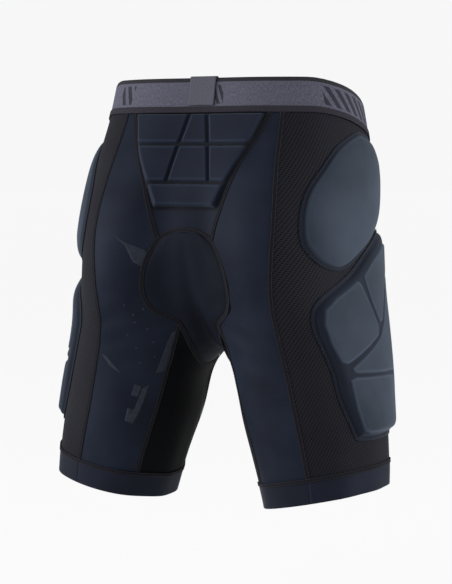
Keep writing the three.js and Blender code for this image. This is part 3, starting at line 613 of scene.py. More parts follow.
# %% Pad cover: a brushed stretch knit
# Brushed to a short nap, which scatters a pale blue-grey. The flat rim round the foam and the moulded grooves
# are coloured darker, partly pressed cloth and partly painted shade; raised plate edges get a painted
# highlight.
def brushed(name, low, dark, light, edge):
    material, tree, shader = finish(name, 0.68, 0.2, "#a9b8c8")
    place = add(tree, "ShaderNodeTexCoord").outputs["Object"]
    cloud = add(tree, "ShaderNodeTexNoise", {"Vector": place, "Scale": 11.0, "Detail": 4.0})
    nap = add(tree, "ShaderNodeTexNoise", {"Vector": place, "Scale": 1400.0, "Detail": 2.0})
    ramp = add(tree, "ShaderNodeValToRGB", {"Fac": cloud.outputs["Fac"]})
    body = tones(ramp, (0.3, dark), (0.7, light))
    raised = add(tree, "ShaderNodeAttribute", attribute_name="raised").outputs["Fac"]
    crest = add(tree, "ShaderNodeAttribute", attribute_name="crest").outputs["Fac"]
    # A Mix node's colour sockets are numbers 6 and 7 in, and 2 out.
    # The rim and grooves take the darker colour: pressed cloth, and painted shade in the recesses.
    pressed_and_shaded = add(tree, "ShaderNodeMix", {0: raised, 6: colour(low), 7: body}, data_type="RGBA")
    # A painted highlight along the raised plate edges.
    highlighted = add(tree, "ShaderNodeMix", {0: crest, 6: pressed_and_shaded.outputs[2], 7: colour(edge)}, data_type="RGBA")
    link(tree, highlighted.outputs[2], shader, "Base Color")
    bump = add(tree, "ShaderNodeBump", {"Height": nap.outputs["Fac"], "Strength": 0.3, "Distance": 0.0002})
    link(tree, bump.outputs["Normal"], shader, "Normal")
    return material


# Colours: rim and groove (pressed cloth and painted shade), the cloth's two tones, then the painted edge
# highlight.
pad_knit = brushed("brushed_pad_knit", "#161a25", "#20262f", "#323a46", "#373f4c")
yoke_knit = brushed("moulded_yoke_knit", "#0b0d15", "#10141f", "#191e2d", "#1e2434")


# %% Woven elastic for the waistband
# A jacquard loom weaves its pattern in, so there is nothing printed on it: a dark ribbed top edge, a lilac
# grey field that is slightly mottled, and slanted bars where the pattern yarn comes to the front.
# The picks are 0.5 mm apart in real elastic and are drawn 1.3 mm apart.
WAIST_ROUND = 752.0  # millimetres round the band
BAR_WINDOWS = (105, 125), (512, 604), (712, 735)  # where bars show, in millimetres round the band
TOP_EDGE = 4.6  # height of the dark ribbed edge


def woven_band():
    material, tree, shader = finish("jacquard_elastic", 0.8, 0.06, "#b0b0c0")
    flat = add(tree, "ShaderNodeUVMap", uv_map="flat").outputs["UV"]
    parts = add(tree, "ShaderNodeSeparateXYZ", {"Vector": flat})
    round_it, down = parts.outputs["X"], parts.outputs["Y"]
    scaled = add(tree, "ShaderNodeMapping", {"Vector": flat, "Scale": (0.9, 0.35, 1)})
    speck = add(tree, "ShaderNodeTexNoise", {"Vector": scaled.outputs["Vector"], "Scale": 1.0, "Detail": 5.0})
    field = tones(add(tree, "ShaderNodeValToRGB", {"Fac": speck.outputs["Fac"]}),
                  (0.35, "#42424e"), (0.65, "#565663"))
    # Slanted stripes 11 mm apart, kept to three windows round the band and to the middle of its height.
    slanted = add(tree, "ShaderNodeMath", {0: down, 1: 0.55, 2: round_it}, operation="MULTIPLY_ADD")
    wave = add(tree, "ShaderNodeMath", {0: slanted.outputs[0], 1: 5.5}, operation="PINGPONG")
    stripe = add(tree, "ShaderNodeMath", {0: wave.outputs[0], 1: 2.9}, operation="LESS_THAN")
    share = add(tree, "ShaderNodeMapRange", {"Value": round_it, "From Max": WAIST_ROUND})
    windows = add(tree, "ShaderNodeValToRGB", {"Fac": share.outputs["Result"]})
    windows.color_ramp.interpolation = "CONSTANT"
    off, on = "#000000", "#ffffff"
    spans = [stop for start, end in BAR_WINDOWS
             for stop in ((start / WAIST_ROUND, on), (end / WAIST_ROUND, off))]
    tones(windows, (0.0, off), *spans)
    height = add(tree, "ShaderNodeMapRange", {"Value": down, "From Max": 36.0})
    middle_part = add(tree, "ShaderNodeValToRGB", {"Fac": height.outputs["Result"]})
    middle_part.color_ramp.interpolation = "CONSTANT"
    tones(middle_part, (0.0, off), (0.21, on), (0.76, off))
    shown = add(tree, "ShaderNodeMath", {0: stripe.outputs[0], 1: windows.outputs["Color"]},
                operation="MULTIPLY")
    bars = add(tree, "ShaderNodeMath", {0: shown.outputs[0], 1: middle_part.outputs["Color"]},
               operation="MULTIPLY")
    edge = add(tree, "ShaderNodeMath", {0: down, 1: TOP_EDGE}, operation="LESS_THAN")
    barred = add(tree, "ShaderNodeMix", {0: bars.outputs[0], 6: field, 7: colour("#2c2b33")},
                 data_type="RGBA")
    edged = add(tree, "ShaderNodeMix", {0: edge.outputs[0], 6: barred.outputs[2], 7: colour("#29282c")},
                data_type="RGBA")
    link(tree, edged.outputs[2], shader, "Base Color")
    ribs = add(tree, "ShaderNodeTexWave", {"Vector": flat, "Scale": 0.245, "Distortion": 0.4})
    bump = add(tree, "ShaderNodeBump", {"Height": ribs.outputs["Fac"], "Strength": 0.35, "Distance": 0.0003})
    link(tree, bump.outputs["Normal"], shader, "Normal")
    return material


band_elastic = woven_band()


# %% Ribbed tape, webbing and thread
# Narrow woven goods: cross ribs 1.3 mm apart on the tape, a slanted twill on the webbing. A wave repeats
# every 0.314 / Scale, so the scale is worked out from the rib spacing.
def ribbed(name, dark, light, spacing, slant=0.0, roughness=0.82, depth=0.0004):
    material, tree, shader = finish(name, roughness, 0.03, "#a0a4b0")
    flat = add(tree, "ShaderNodeUVMap", uv_map="flat").outputs["UV"]
    turned = add(tree, "ShaderNodeMapping", {"Vector": flat, "Rotation": (0, 0, math.radians(slant))})
    ribs = add(tree, "ShaderNodeTexWave", {"Vector": turned.outputs["Vector"],
                                          "Scale": 0.314 / spacing, "Distortion": 0.6, "Detail": 1.0})
    speck = add(tree, "ShaderNodeTexNoise", {"Vector": flat, "Scale": 1.3, "Detail": 3.0})
    tone = add(tree, "ShaderNodeMath", {0: ribs.outputs["Fac"], 1: 0.45}, operation="MULTIPLY")
    mixed = add(tree, "ShaderNodeMath", {0: tone.outputs[0], 1: speck.outputs["Fac"]}, operation="ADD")
    ramp = add(tree, "ShaderNodeValToRGB", {"Fac": mixed.outputs[0]})
    link(tree, tones(ramp, (0.4, dark), (0.95, light)), shader, "Base Color")
    bump = add(tree, "ShaderNodeBump", {"Height": ribs.outputs["Fac"], "Strength": 0.5, "Distance": depth})
    link(tree, bump.outputs["Normal"], shader, "Normal")
    return material


waist_tape = ribbed("ribbed_binding_tape", "#17161a", "#35333a", 1.3)
loop_webbing = ribbed("twill_webbing", "#33333b", "#5b5b66", 1.6, slant=35)
seam_tape = ribbed("flatlock_seam", "#0d0d11", "#1c1c22", 1.4)
thread = ribbed("polyester_thread", "#151519", "#303036", 0.9, slant=30, roughness=0.6)


# %% Hidden and inside finishes
# Closed-cell foam is matt with a fine skin. The seat pad is brushed fleece. Silicone is printed wet and
# cures smooth, so it is the one glossy finish.
def soft(name, dark, light, grain, roughness, depth, sheen=0.1):
    material, tree, shader = finish(name, roughness, sheen)
    place = add(tree, "ShaderNodeTexCoord").outputs["Object"]
    cells = add(tree, "ShaderNodeTexNoise", {"Vector": place, "Scale": grain, "Detail": 4.0})
    ramp = add(tree, "ShaderNodeValToRGB", {"Fac": cells.outputs["Fac"]})
    link(tree, tones(ramp, (0.3, dark), (0.7, light)), shader, "Base Color")
    bump = add(tree, "ShaderNodeBump", {"Height": cells.outputs["Fac"], "Strength": 0.4, "Distance": depth})
    link(tree, bump.outputs["Normal"], shader, "Normal")
    return material


pad_foam = soft("closed_cell_foam", "#2c2f34", "#43474d", 900.0, 0.9, 0.0003)
pad_fleece = soft("brushed_fleece", "#1f2c3a", "#34475a", 500.0, 0.95, 0.0006, sheen=0.5)
grip_silicone = soft("printed_silicone", "#17181b", "#25262b", 300.0, 0.32, 0.0001, sheen=0.0)
print_ink = soft("transfer_print_ink", "#21252d", "#2a2f38", 260.0, 0.5, 0.0001, sheen=0.0)
print(len(bpy.data.materials), "materials")


# %% [markdown]
# ## The shell
# Four panels a leg, cut from flat cloth and held in shape by the body. Each is a patch between four seams,
# so that neighbours meet exactly: back, mesh side, front and inner thigh.

# %% The leg's panels
FABRIC = 1.2  # level of the shell's outer face


def shell(flat_place, body_place):
    """A panel's outer face: a flat patch, put on the body and laid over the folds."""
    def place(u, v):
        flat = flat_place(u, v)
        return lay(body_place(flat), FABRIC), flat, {}
    return place


def waist_line(start, end):
    return edge_between(start, end, panel_top)


def hem_line(start, end):
    return edge_between(start, end, hem_seam)


back_inner = np.vstack([
    leg_map(on_back(yoke_line)),
    back_map[yoke_corner + 1:back_corner],
    inner_back,
])
front_inner = np.vstack([centre_front, front_map[front_corner + 1:-1][::-1], inner_front])
full_turn = np.array([360 * PER_DEGREE, 0])
crotch_edge = leg_map(gusset_edge[back_corner:front_corner + 1], wrap=True)
leg_panels = {
    "back_leg_panel": (70, 190, back_lycra, "lycra", patch(
        waist_line(back_inner[0, 0], mesh_back[0, 0]), hem_line(inner_back[-1, 0], mesh_back[-1, 0]),
        back_inner, mesh_back)),
    "side_mesh_panel": (90, 190, side_mesh, "mesh_fabric", patch(
        waist_line(mesh_back[0, 0], mesh_front[0, 0]), hem_line(mesh_back[-1, 0], mesh_front[-1, 0]),
        mesh_back, mesh_front)),
    "front_leg_panel": (70, 190, back_lycra, "lycra", patch(
        waist_line(mesh_front[0, 0], front_inner[0, 0]), hem_line(mesh_front[-1, 0], inner_front[-1, 0]),
        mesh_front, front_inner)),
    "inner_thigh_panel": (70, 90, inner_lycra_shaded, "lycra", patch(
        crotch_edge, hem_line(inner_back[-1, 0] + full_turn[0], inner_front[-1, 0]),
        inner_back + full_turn, inner_front)),
}
SIDES = (("left", 1), ("right", -1))
for kind, (columns, rows, material, slot, flat_place) in leg_panels.items():
    for word, side in SIDES:
        name = f"{kind}_{word}"
        piece = join(name + "_cloth", [grid(name, columns, rows, mirrored(shell(flat_place, on_leg), side))],
                     [material])
        settle_in(piece, slot, name)
        size = declare_sheet(piece)
        thicken(piece, thickness=1.1)
        print(piece.name, "flat size", size)


# %% [markdown]
# ## Moulded pads
# Foam pads are moulded: a raised body with rounded edges, cut by grooves into plates so that it bends. A
# pad's cover is pressed over it. The height above the flat rim is worked out from how far a point lies
# inside the body's outline and inside each plate's.

# %% The height of a moulded pad
def rounded(depth, edge):
    """0 at an outline, rising as a quarter round to 1 this far inside it."""
    t = np.clip(depth / edge, 0, 1)
    return np.sqrt(1 - (1 - t) ** 2)


def moulded(flat, body, plates, height, edge, rise, lip, crown=0.0):
    """Height above the rim, how raised it is, and how much a point gets the painted highlight of a plate's
    edge.
    """
    inner = depth_in(flat, body)
    up = (height - rise) * rounded(inner, edge)
    plate = np.max([depth_in(flat, p) for p in plates], axis=0)
    up = up + rise * rounded(np.minimum(plate, inner), lip) + crown * np.clip(inner / 50, 0, 1) ** 0.7
    # Low on the flat rim and in the grooves, where the cover is coloured darker: pressed cloth and painted
    # shade.
    raised = np.clip(plate / 2.5 + 0.4, 0, 1) * np.clip(inner / 3, 0, 1)
    # A thin painted highlight just inside each plate's edge.
    crest = np.exp(-((plate - 1.6) / 1.1) ** 2) * np.clip(inner / 3, 0, 1)
    return up, raised, crest


def disc(u, v, outline):
    """Spreads a square grid over a closed outline, square rings turning into its shape."""
    x, y = 2 * u - 1, 2 * v - 1
    share = np.maximum(np.abs(x), np.abs(y))
    reach = np.maximum(share, 1e-9)
    a, b = x / reach, y / reach
    turn = np.where(np.abs(a) >= np.abs(b), np.where(a > 0, 1 + b, 5 - b), np.where(b > 0, 3 - a, 7 + a)) / 8
    centre = outline.mean(0)
    return centre + (at(outline, turn % 1.0) - centre) * share[:, None]


def closed_line(points, count=320):
    return smooth_line(points, count, closed=True)


def degrees_line(points):
    """A closed outline given as [angle, height] on the leg."""
    return closed_line([(angle * PER_DEGREE, z) for angle, z in points])


# %% Outlines of the hip pad and the thigh pad
HIP = [(81, -57.5), (59, -72), (42, -97), (32, -117), (27, -140), (26, -165), (30, -180), (37, -191),
       (48, -197), (60, -195), (74, -186), (93, -171), (112, -150), (122, -125), (126, -104), (123, -80),
       (110, -65.5), (95, -59)]
THIGH = [(121, -159), (92, -175), (66, -198), (45, -214), (34, -225), (29, -237), (29, -255), (34, -276),
         (40, -301), (44, -327), (51, -352), (56, -367), (62, -370), (90, -370), (116, -369), (124, -360),
         (128, -333), (131, -300), (133, -262), (133, -222), (131, -185), (127, -165)]


def inset(loop, by):
    """The outline moved inwards, each point along its own normal."""
    way = np.roll(loop, -3, 0) - np.roll(loop, 3, 0)
    way /= np.maximum(np.linalg.norm(way, axis=1), 1e-9)[:, None]
    normal = np.stack([-way[:, 1], way[:, 0]], 1)
    middle_point = loop.mean(0)
    turn = np.sign(((middle_point - loop) * normal).sum(1).mean())
    return loop + normal * turn * np.asarray(by).reshape(-1, 1)


hip_outline, thigh_outline = degrees_line(HIP), degrees_line(THIGH)
HIP_RIM, THIGH_RIM = 3.5, 4.6  # widths of the flat rims
hip_body, thigh_body = inset(hip_outline[:-1], HIP_RIM), inset(thigh_outline[:-1], THIGH_RIM)
PLATES = {
    "upper_rear": [(36, -250), (36.5, -236), (45, -225), (66, -210), (70, -213), (80, -236), (88.5, -258),
                   (87, -266), (68, -279), (50, -291), (46, -289), (40, -270)],
    "upper_front": [(75, -205), (90, -190), (112, -175), (126, -176), (127, -196), (110, -226), (98, -252),
                    (92.5, -254), (84, -233)],
    "middle": [(54, -297), (70, -285), (90, -270), (100, -256), (112, -232), (127, -204), (129, -230),
               (127, -300), (124, -345), (121, -356), (119.5, -340), (118, -312), (112, -305), (80, -303),
               (56, -301)],
    "lower": [(52, -309), (56, -307), (104, -310), (112, -312), (115, -325), (116.5, -356), (112, -362),
              (66, -362), (61, -359), (56, -338)],
}
PLATE_SPREAD = 1.2  # each plate is drawn this much larger, which leaves grooves about 3 mm wide
thigh_plates = []
for corners in PLATES.values():
    plate_line = np.array([(angle * PER_DEGREE, z) for angle, z in corners + corners[:1]])
    thigh_plates.append(inset(resample(plate_line, 120)[:-1], -PLATE_SPREAD))
print("hip pad", np.ptp(hip_outline, axis=0).round(), "thigh pad", np.ptp(thigh_outline, axis=0).round())

# %% Pad covers and the foam under them
RIM = 2.4  # level of a cover's outer face where it is sewn flat
FOAM_BASE, COVER_THICKNESS = 1.3, 0.9
FOAM_GAP = 1.35  # how much lower the foam stands than the cover's outer face


def hip_shape(flat):
    return moulded(flat, hip_body, [hip_body], height=7.2, edge=26.0, rise=0.5, lip=5.0, crown=1.6)


def thigh_shape(flat):
    return moulded(flat, thigh_body, thigh_plates, height=7.8, edge=10.0, rise=1.9, lip=3.0)


def cover_of(outline, shape):
    def place(u, v):
        flat = disc(u, v, outline)
        up, raised, crest = shape(flat)
        return lay(on_leg(flat), RIM + up), flat, {"raised": raised, "crest": crest}
    return place


def foam_face(outline, shape, upper):
    """One face of the foam. Both faces meet at the outline, so the body closes there."""
    def place(u, v):
        flat = disc(u, v, outline)
        up = shape(flat)[0] - FOAM_GAP if upper else 0 * u
        edge = np.abs(2 * np.maximum(np.abs(u - 0.5), np.abs(v - 0.5)) - 1) < 1e-6
        level = FOAM_BASE + np.where(edge, 0, np.maximum(up, 0))
        return lay(on_leg(flat), level), flat, {}
    return place


for kind, outline, body, shape, steps in (
    ("hip_pad", hip_outline, hip_body, hip_shape, 110),
    ("thigh_pad", thigh_outline, thigh_body, thigh_shape, 190),
):
    for word, side in SIDES:
        name = f"{kind}_{word}"
        cover = join(f"{kind}_cover_cloth_{word}",
                     [grid(name, steps, steps, mirrored(cover_of(outline, shape), side))], [pad_knit])
        settle_in(cover, "pad_fabric", f"{kind}_cover_{word}")
        size = declare_sheet(cover)
        thicken(cover, COVER_THICKNESS)
        body_loop = np.vstack([body, body[:1]])
        faces = [grid(name, 70, 70, mirrored(foam_face(body_loop, shape, upper), side)) for upper in (0, 1)]
        foam = join(f"{kind}_foam_{word}", faces, [pad_foam], closed=True)
        settle_in(foam, "pad_foam", name)
        print(cover.name, "flat size", size, "foam faces", len(foam.data.polygons))


# %% [markdown]
# ## The yoke over the tailbone pad
# A funnel of cloth from the waistband down to the seat. The tailbone pad behind it is cut by two level
# grooves and two slanting ones. The cloth is moulded with it, so the grooves show through.

# %% The yoke's patch and its plates
top_x = np.linspace(-yoke_line[0, 0], yoke_line[0, 0], 60)
yoke_top = np.stack([top_x, np.full(len(top_x), yoke_line[0, 1])], 1)
arc = gusset_edge[:yoke_corner + 1][:, [0, 2]]
yoke_bottom = np.vstack([arc[::-1] * [-1, 1], arc[1:]])
yoke_place = patch(yoke_top, yoke_bottom, yoke_line * [-1, 1], yoke_line)
TAIL_BODY = [(-74, -38.5), (74, -38.5), (64.5, -71), (46.5, -112), (37.5, -134), (-37.5, -134), (-46.5, -112),
             (-64.5, -71)]
TAIL_PLATES = [
    [(-8, -37), (8, -37), (15.3, -69.5), (-15.3, -69.5)],
    [(11.5, -37), (73, -37), (64, -69.5), (18.8, -69.5)],
    [(-16, -72.7), (16, -72.7), (24, -108.2), (-24, -108.2)],
    [(19.5, -72.7), (63, -72.7), (47, -108.2), (27.5, -108.2)],
    [(-45.5, -111.6), (45.5, -111.6), (37, -133), (-37, -133)],
]
TAIL_PLATES += [[(-x, z) for x, z in plate] for plate in (TAIL_PLATES[1], TAIL_PLATES[3])]


def even(points, count):
    return resample(np.array(points + points[:1], float), count)[:-1]


tail_body = even(TAIL_BODY, 120)
tail_plates = [even(plate, 60) for plate in TAIL_PLATES]


def tail_shape(flat):
    return moulded(flat, tail_body, tail_plates, height=6.2, edge=5.0, rise=2.4, lip=2.6)


def yoke_cloth(u, v):
    flat = yoke_place(u, v)
    up, raised, crest = tail_shape(flat)
    up = up * np.clip((-36.2 - flat[:, 1]) / 2.2, 0, 1) + 0.1
    raised = np.where(depth_in(flat, tail_body) > -3, raised, 0.75)
    return lay(on_back(flat), FABRIC + up), flat, {"raised": raised, "crest": crest}


yoke = join("yoke_cloth", [grid("yoke", 150, 150, yoke_cloth)], [yoke_knit])
settle_in(yoke, "lycra", "yoke_panel")
print("yoke flat size", declare_sheet(yoke))
thicken(yoke, thickness=1.0)


# %% The tailbone pad and its lining
def tail_face(upper):
    outline = np.vstack([tail_body, tail_body[:1]])
    outline = outline.mean(0) + (outline - outline.mean(0)) * 0.97

    def place(u, v):
        flat = disc(u, v, outline)
        edge = np.maximum(np.abs(2 * u - 1), np.abs(2 * v - 1)) > 1 - 1e-6
        up = tail_shape(flat)[0] * 0.75 if upper else 0 * u
        return lay(on_back(flat), -0.9 + np.where(edge, 0, np.maximum(up, 0))), flat, {}
    return place


tail_foam = join("tailbone_foam", [grid("tail", 70, 70, tail_face(upper)) for upper in (0, 1)], [pad_foam],
                 closed=True)
settle_in(tail_foam, "pad_foam", "tailbone_pad")
print("tailbone foam", len(tail_foam.data.polygons), "faces")


def tail_pocket(u, v):
    flat = disc(u, v, np.vstack([tail_body, tail_body[:1]]))
    return lay(on_back(flat), -1.1), flat, {}


pocket = join("tailbone_pocket_lining", [grid("pocket", 60, 60, tail_pocket)], [lining_mesh])
settle_in(pocket, "mesh_fabric", "tailbone_lining")
print("tailbone lining flat size", declare_sheet(pocket))
thicken(pocket, thickness=0.5)


# %% [markdown]
# ## The gusset and the seat pad
# A round seat that narrows to a neck between the legs and ends in a point in front. The seat pad lies
# inside it and pushes it out a little, so its round outline shows from behind.

# %% Gusset cloth
def gusset_flat(u, v, keep=1.0, start=0.0, stop=1.0):
    spot = at(gusset_half, start + v * (stop - start))
    return np.stack([(1 - 2 * u) * spot[:, 0] * keep, spot[:, 1]], 1)


def seat_swell(flat):
    """How far the seat pad pushes the cloth out, with a shallow channel down the middle."""
    half = np.interp(flat[:, 1], gusset_half[:, 1], gusset_half[:, 0])
    in_from_edge = np.minimum(half - np.abs(flat[:, 0]), flat[:, 1] * 0.8 + 1)
    fade = np.clip((150 - flat[:, 1]) / 60, 0, 1)
    channel = np.exp(-(flat[:, 0] / 6) ** 2) * np.clip(flat[:, 1] / 30, 0, 1)
    return (3.0 * rounded(in_from_edge - 3, 16) - 0.9 * channel) * fade


def gusset_cloth(u, v):
    flat = gusset_flat(u, v)
    return lay(on_gusset(flat), FABRIC + 0.05 + np.maximum(seat_swell(flat), 0)), flat, {}


gusset = join("gusset_cloth", [grid("gusset", 64, 260, gusset_cloth)], [seat_lycra_shaded])
settle_in(gusset, "lycra", "crotch_gusset")
print("gusset flat size", declare_sheet(gusset))
thicken(gusset, thickness=1.0)


# %% Seat pad: fleece over foam, with stitched channels
PAD_SHARE, PAD_START, PAD_STOP, PAD_END = 0.88, 0.02, 0.8, 270  # of the gusset; where it ends along it
PAD_THICK, PAD_EDGE, CHANNEL_DEPTH = 7, 9, 2


def seat_face(upper):
    def place(u, v):
        flat = gusset_flat(u, v, PAD_SHARE, PAD_START, PAD_STOP)
        half = np.interp(flat[:, 1], gusset_half[:, 1], gusset_half[:, 0]) * PAD_SHARE
        inside_by = np.minimum(half - np.abs(flat[:, 0]), np.minimum(flat[:, 1] - 2, PAD_END - flat[:, 1]))
        channel = CHANNEL_DEPTH * hill((np.abs(flat[:, 0]), 15, 2.5))
        thick = PAD_THICK * rounded(np.maximum(inside_by, 0), PAD_EDGE) - channel
        rim = (np.abs(u - 0.5) > 0.4999) | (v < 1e-6) | (v > 1 - 1e-6)
        depth = np.where(rim, 0, np.maximum(thick, 0.2)) if upper else 0 * u
        return settle(on_gusset(flat), -0.9 - depth + folds(on_gusset(flat)), 2), flat, {}
    return place


seat_pad = join("seat_pad_fleece", [grid("seat", 50, 150, seat_face(upper)) for upper in (0, 1)],
                [pad_fleece], closed=True)
settle_in(seat_pad, "seat_pad_fleece", "seat_pad")
print("seat pad", len(seat_pad.data.polygons), "faces")


# %% [markdown]
# ## Waistband, loop and hems
# The waistband is one woven ring. The hem is cloth folded double, with silicone printed inside it that
# keeps the legs from riding up.

# %% Waistband and ribbed tape
def band(levels, below_start, below_end):
    def place(u, v):
        below = below_start + v * (below_end - below_start)
        angle = 360 * u
        z = np.interp(angle, TURN, band_heights) - below
        p = cast(0, 0, z, angle)
        roll = 0.5 * np.clip(1 - below / 3, 0, 1) ** 2
        return lay(p, levels - roll), np.stack([u * WAIST_ROUND, below], 1), {}
    return place


waistband = join("waistband_elastic", [grid("band", 300, 20, band(1.9, 0.0, 35.4))], [band_elastic])
settle_in(waistband, "waist_elastic", "waistband")
thicken(waistband, thickness=1.6)
tape = join("waist_tape_ribbed", [grid("tape", 300, 6, band(2.9, 30.4, 36.6))], [waist_tape])
settle_in(tape, "stitching", "waist_seam_tape")
thicken(tape, thickness=0.8)
print("waistband", len(waistband.data.polygons), "faces, tape", len(tape.data.polygons))


# %% Webbing loop over the band
LOOP_WIDTH, LOOP_LENGTH = 30.0, 52.0
LOOP_FOOT, LOOP_UP, LOOP_OVER = -29.0, 30.0, 6.0  # height of its foot, length outside, length over the edge


def loop_strip(u, v):
    """Up the outside of the band, over its edge, and a little way down inside."""
    along = v * LOOP_LENGTH
    x = (u - 0.5) * LOOP_WIDTH
    past = along - LOOP_UP - LOOP_OVER
    turn = np.clip((along - LOOP_UP) / LOOP_OVER, 0, 1) * math.pi
    z = np.where(along < LOOP_UP, LOOP_FOOT + along, np.where(past > 0, 0.2 - past, 0.6 + 1.3 * np.sin(turn)))
    level = np.where(past < 0, 0.7 + 2.6 * np.cos(turn), -1.9)
    p = settle(cast(x, 0, z, 0), level + 0.15, 3)
    return p, np.stack([x + LOOP_WIDTH / 2, along], 1), {}


loop = join("back_loop_webbing", [grid("loop", 20, 70, loop_strip)], [loop_webbing])
settle_in(loop, "webbing", "back_loop")
thicken(loop, thickness=1.1)
print("loop", len(loop.data.polygons), "faces")


# %% Hem bands and silicone grippers
def hem_strip(start, end, level, top_below, bottom_below, dots=0.0):
    def place(u, v):
        angle = start + u * (end - start)
        below = top_below + v * (bottom_below - top_below)
        flat = np.stack([angle * PER_DEGREE, hem_seam(angle) - below], 1)
        bumps = dots * np.maximum(0, np.sin(angle * 0.9) * np.sin(below * 1.6))
        return lay(on_leg(flat), level - bumps), flat, {}
    return place


# name, from and to what angle, level, top and bottom below the seam, finish, slot, dots, thickness
hem_pieces = (
    ("hem_band_side", 15, 140, 1.9, 0.2, 24, hem_lycra, "lycra", 0.0, 1.5),
    ("hem_band_back", 140, 375, 1.9, 0.2, 24, hem_lycra, "lycra", 0.0, 1.5),
    ("hem_gripper", 0, 360, -0.3, 7, 21, grip_silicone, "silicone", 0.5, 0.5),
)
for kind, start, end, level, top, bottom, material, slot, dots, thickness in hem_pieces:
    for word, side in SIDES:
        name = f"{kind}_{word}"
        columns = int((end - start) / 1.8)
        strip = hem_strip(start, end, level, top, bottom, dots)
        piece = join(name + "_cloth", [grid(name, columns, 16, mirrored(strip, side))], [material])
        settle_in(piece, slot, name)
        size = declare_sheet(piece)
        thicken(piece, thickness)
        print(piece.name, "flat size", size)


# %% [markdown]
# ## Flatlock seams
# A flatlock machine joins two edges with a flat band of thread over them, and its needles leave a row of
# stitches along each side. Each seam is a low domed strip with two chains of stitches, all from grids.

# %% A seam along a line on the body
def seam_frame(path, level):
    """A line on the body with the ways across it and out of it at each point."""
    p = lay(path, level)
    out = slope(p)
    out /= np.linalg.norm(out, axis=1)[:, None]
    along = np.gradient(p, axis=0)
    if np.linalg.norm(path[0] - path[-1]) < 0.5:
        along[0] = along[-1] = p[1] - p[-2]
    across = np.cross(along, out)
    across /= np.maximum(np.linalg.norm(across, axis=1), 1e-9)[:, None]
    return p, across, out


def seam_band(path, width, level, rise):
    p, across, out = seam_frame(path, level)
    long = np.linalg.norm(np.diff(path, axis=0), axis=1).sum()

    def place(u, v):
        side = 2 * u - 1
        spot, way, up = at(p, v), at(across, v), at(out, v)
        dome = rise * (1 - side ** 4)
        where = spot + way * (side * width / 2)[:, None]
        where = settle(where, level + folds(where), 1) + up * dome[:, None]
        return where, np.stack([v * long, side * width / 2], 1), {}
    return place


def stitch_row(path, offset, level, pitch=3.2, radius=0.42):
    """A chain of stitches: a thin tube that is pinched between one stitch and the next."""
    p, across, out = seam_frame(path, level)
    long = np.linalg.norm(np.diff(path, axis=0), axis=1).sum()
    count = max(int(long / pitch), 2)

    def place(u, v):
        turn = 2 * math.pi * u
        spot, way, up = at(p, v), at(across, v), at(out, v)
        where = spot + way * offset
        where = settle(where, level + folds(where), 1)
        pinch = np.abs(np.sin(math.pi * v * count)) ** 0.6
        r = radius * (0.25 + 0.75 * pinch) * (np.minimum(v, 1 - v) > 1e-7)
        where = where + way * (r * np.cos(turn))[:, None] + up * (r * 0.8 * np.sin(turn))[:, None]
        return where, np.stack([v * long, turn], 1), {}
    return place, count * 4


def seam(name, nodes, path, width=4.8, level=1.35, rise=0.75, side=1):
    path = resample(path, max(int(np.linalg.norm(np.diff(path, axis=0), axis=1).sum() / 2.5), 8))
    long = np.linalg.norm(np.diff(path, axis=0), axis=1).sum()
    meshes = [grid(name, 8, max(int(long / 2), 6), mirrored(seam_band(path, width, level, rise), side))]
    for offset in (-width * 0.36, width * 0.36):
        row, steps = stitch_row(path, offset, level + rise * 0.8)
        meshes.append(grid(name, 6, steps, mirrored(row, side)))
    piece = join(name, meshes, [seam_tape, thread])
    settle_in(piece, "stitching", *nodes)
    return round(long)


leg_seams = {
    "mesh_back_seam": on_leg(mesh_back),
    "mesh_front_seam": on_leg(mesh_front),
    "inner_back_seam": on_leg(inner_back),
    "inner_front_seam": on_leg(inner_front),
    "yoke_seam": on_back(yoke_line),
}
ring = np.arange(0, 361, 3.0)
leg_seams["hem_seam"] = on_leg(np.stack([ring * PER_DEGREE, hem_seam(ring)], 1))
for kind, path in leg_seams.items():
    for word, side in SIDES:
        level = 2.0 if kind == "hem_seam" else 1.35
        width = 4.2 if kind == "hem_seam" else 4.8
        long = seam(f"{kind}_stitched_{word}", [f"{kind}_{word}"], path, width, level, 0.7, side)
    print(kind, long, "mm")
whole_edge = np.vstack([gusset_edge[::-1], (gusset_edge * [-1, 1, 1])[1:]])
print("gusset seam", seam("gusset_seam_stitched", ["gusset_seam"], whole_edge, 5.0, 1.45), "mm")
front_path = cast(0, 0, centre_z, 180.0)
print("centre front", seam("centre_front_seam_stitched", ["centre_front_seam"], front_path), "mm")


# %% Stitching round the pads
# One row of stitches holds each cover's rim down.
rim_rows = []
for word, side in SIDES:
    for outline in (hip_outline, thigh_outline):
        path = on_leg(inset(outline[:-1], 2.4))
        path = np.vstack([path, path[:1]])
        row, steps = stitch_row(path, 0.0, RIM + 0.05)
        rim_rows.append(grid("rim", 6, steps, mirrored(row, side)))
rim = join("pad_rim_stitches", rim_rows, [thread])
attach(rim, "root")
print("rim stitches", len(rim.data.polygons), "faces")


# %% [markdown]
# ## Printed shards
# Thin transfer prints on the back of the left leg: a few long angular flakes and small dots. They are plain
# shapes, each a small patch just above the cloth.

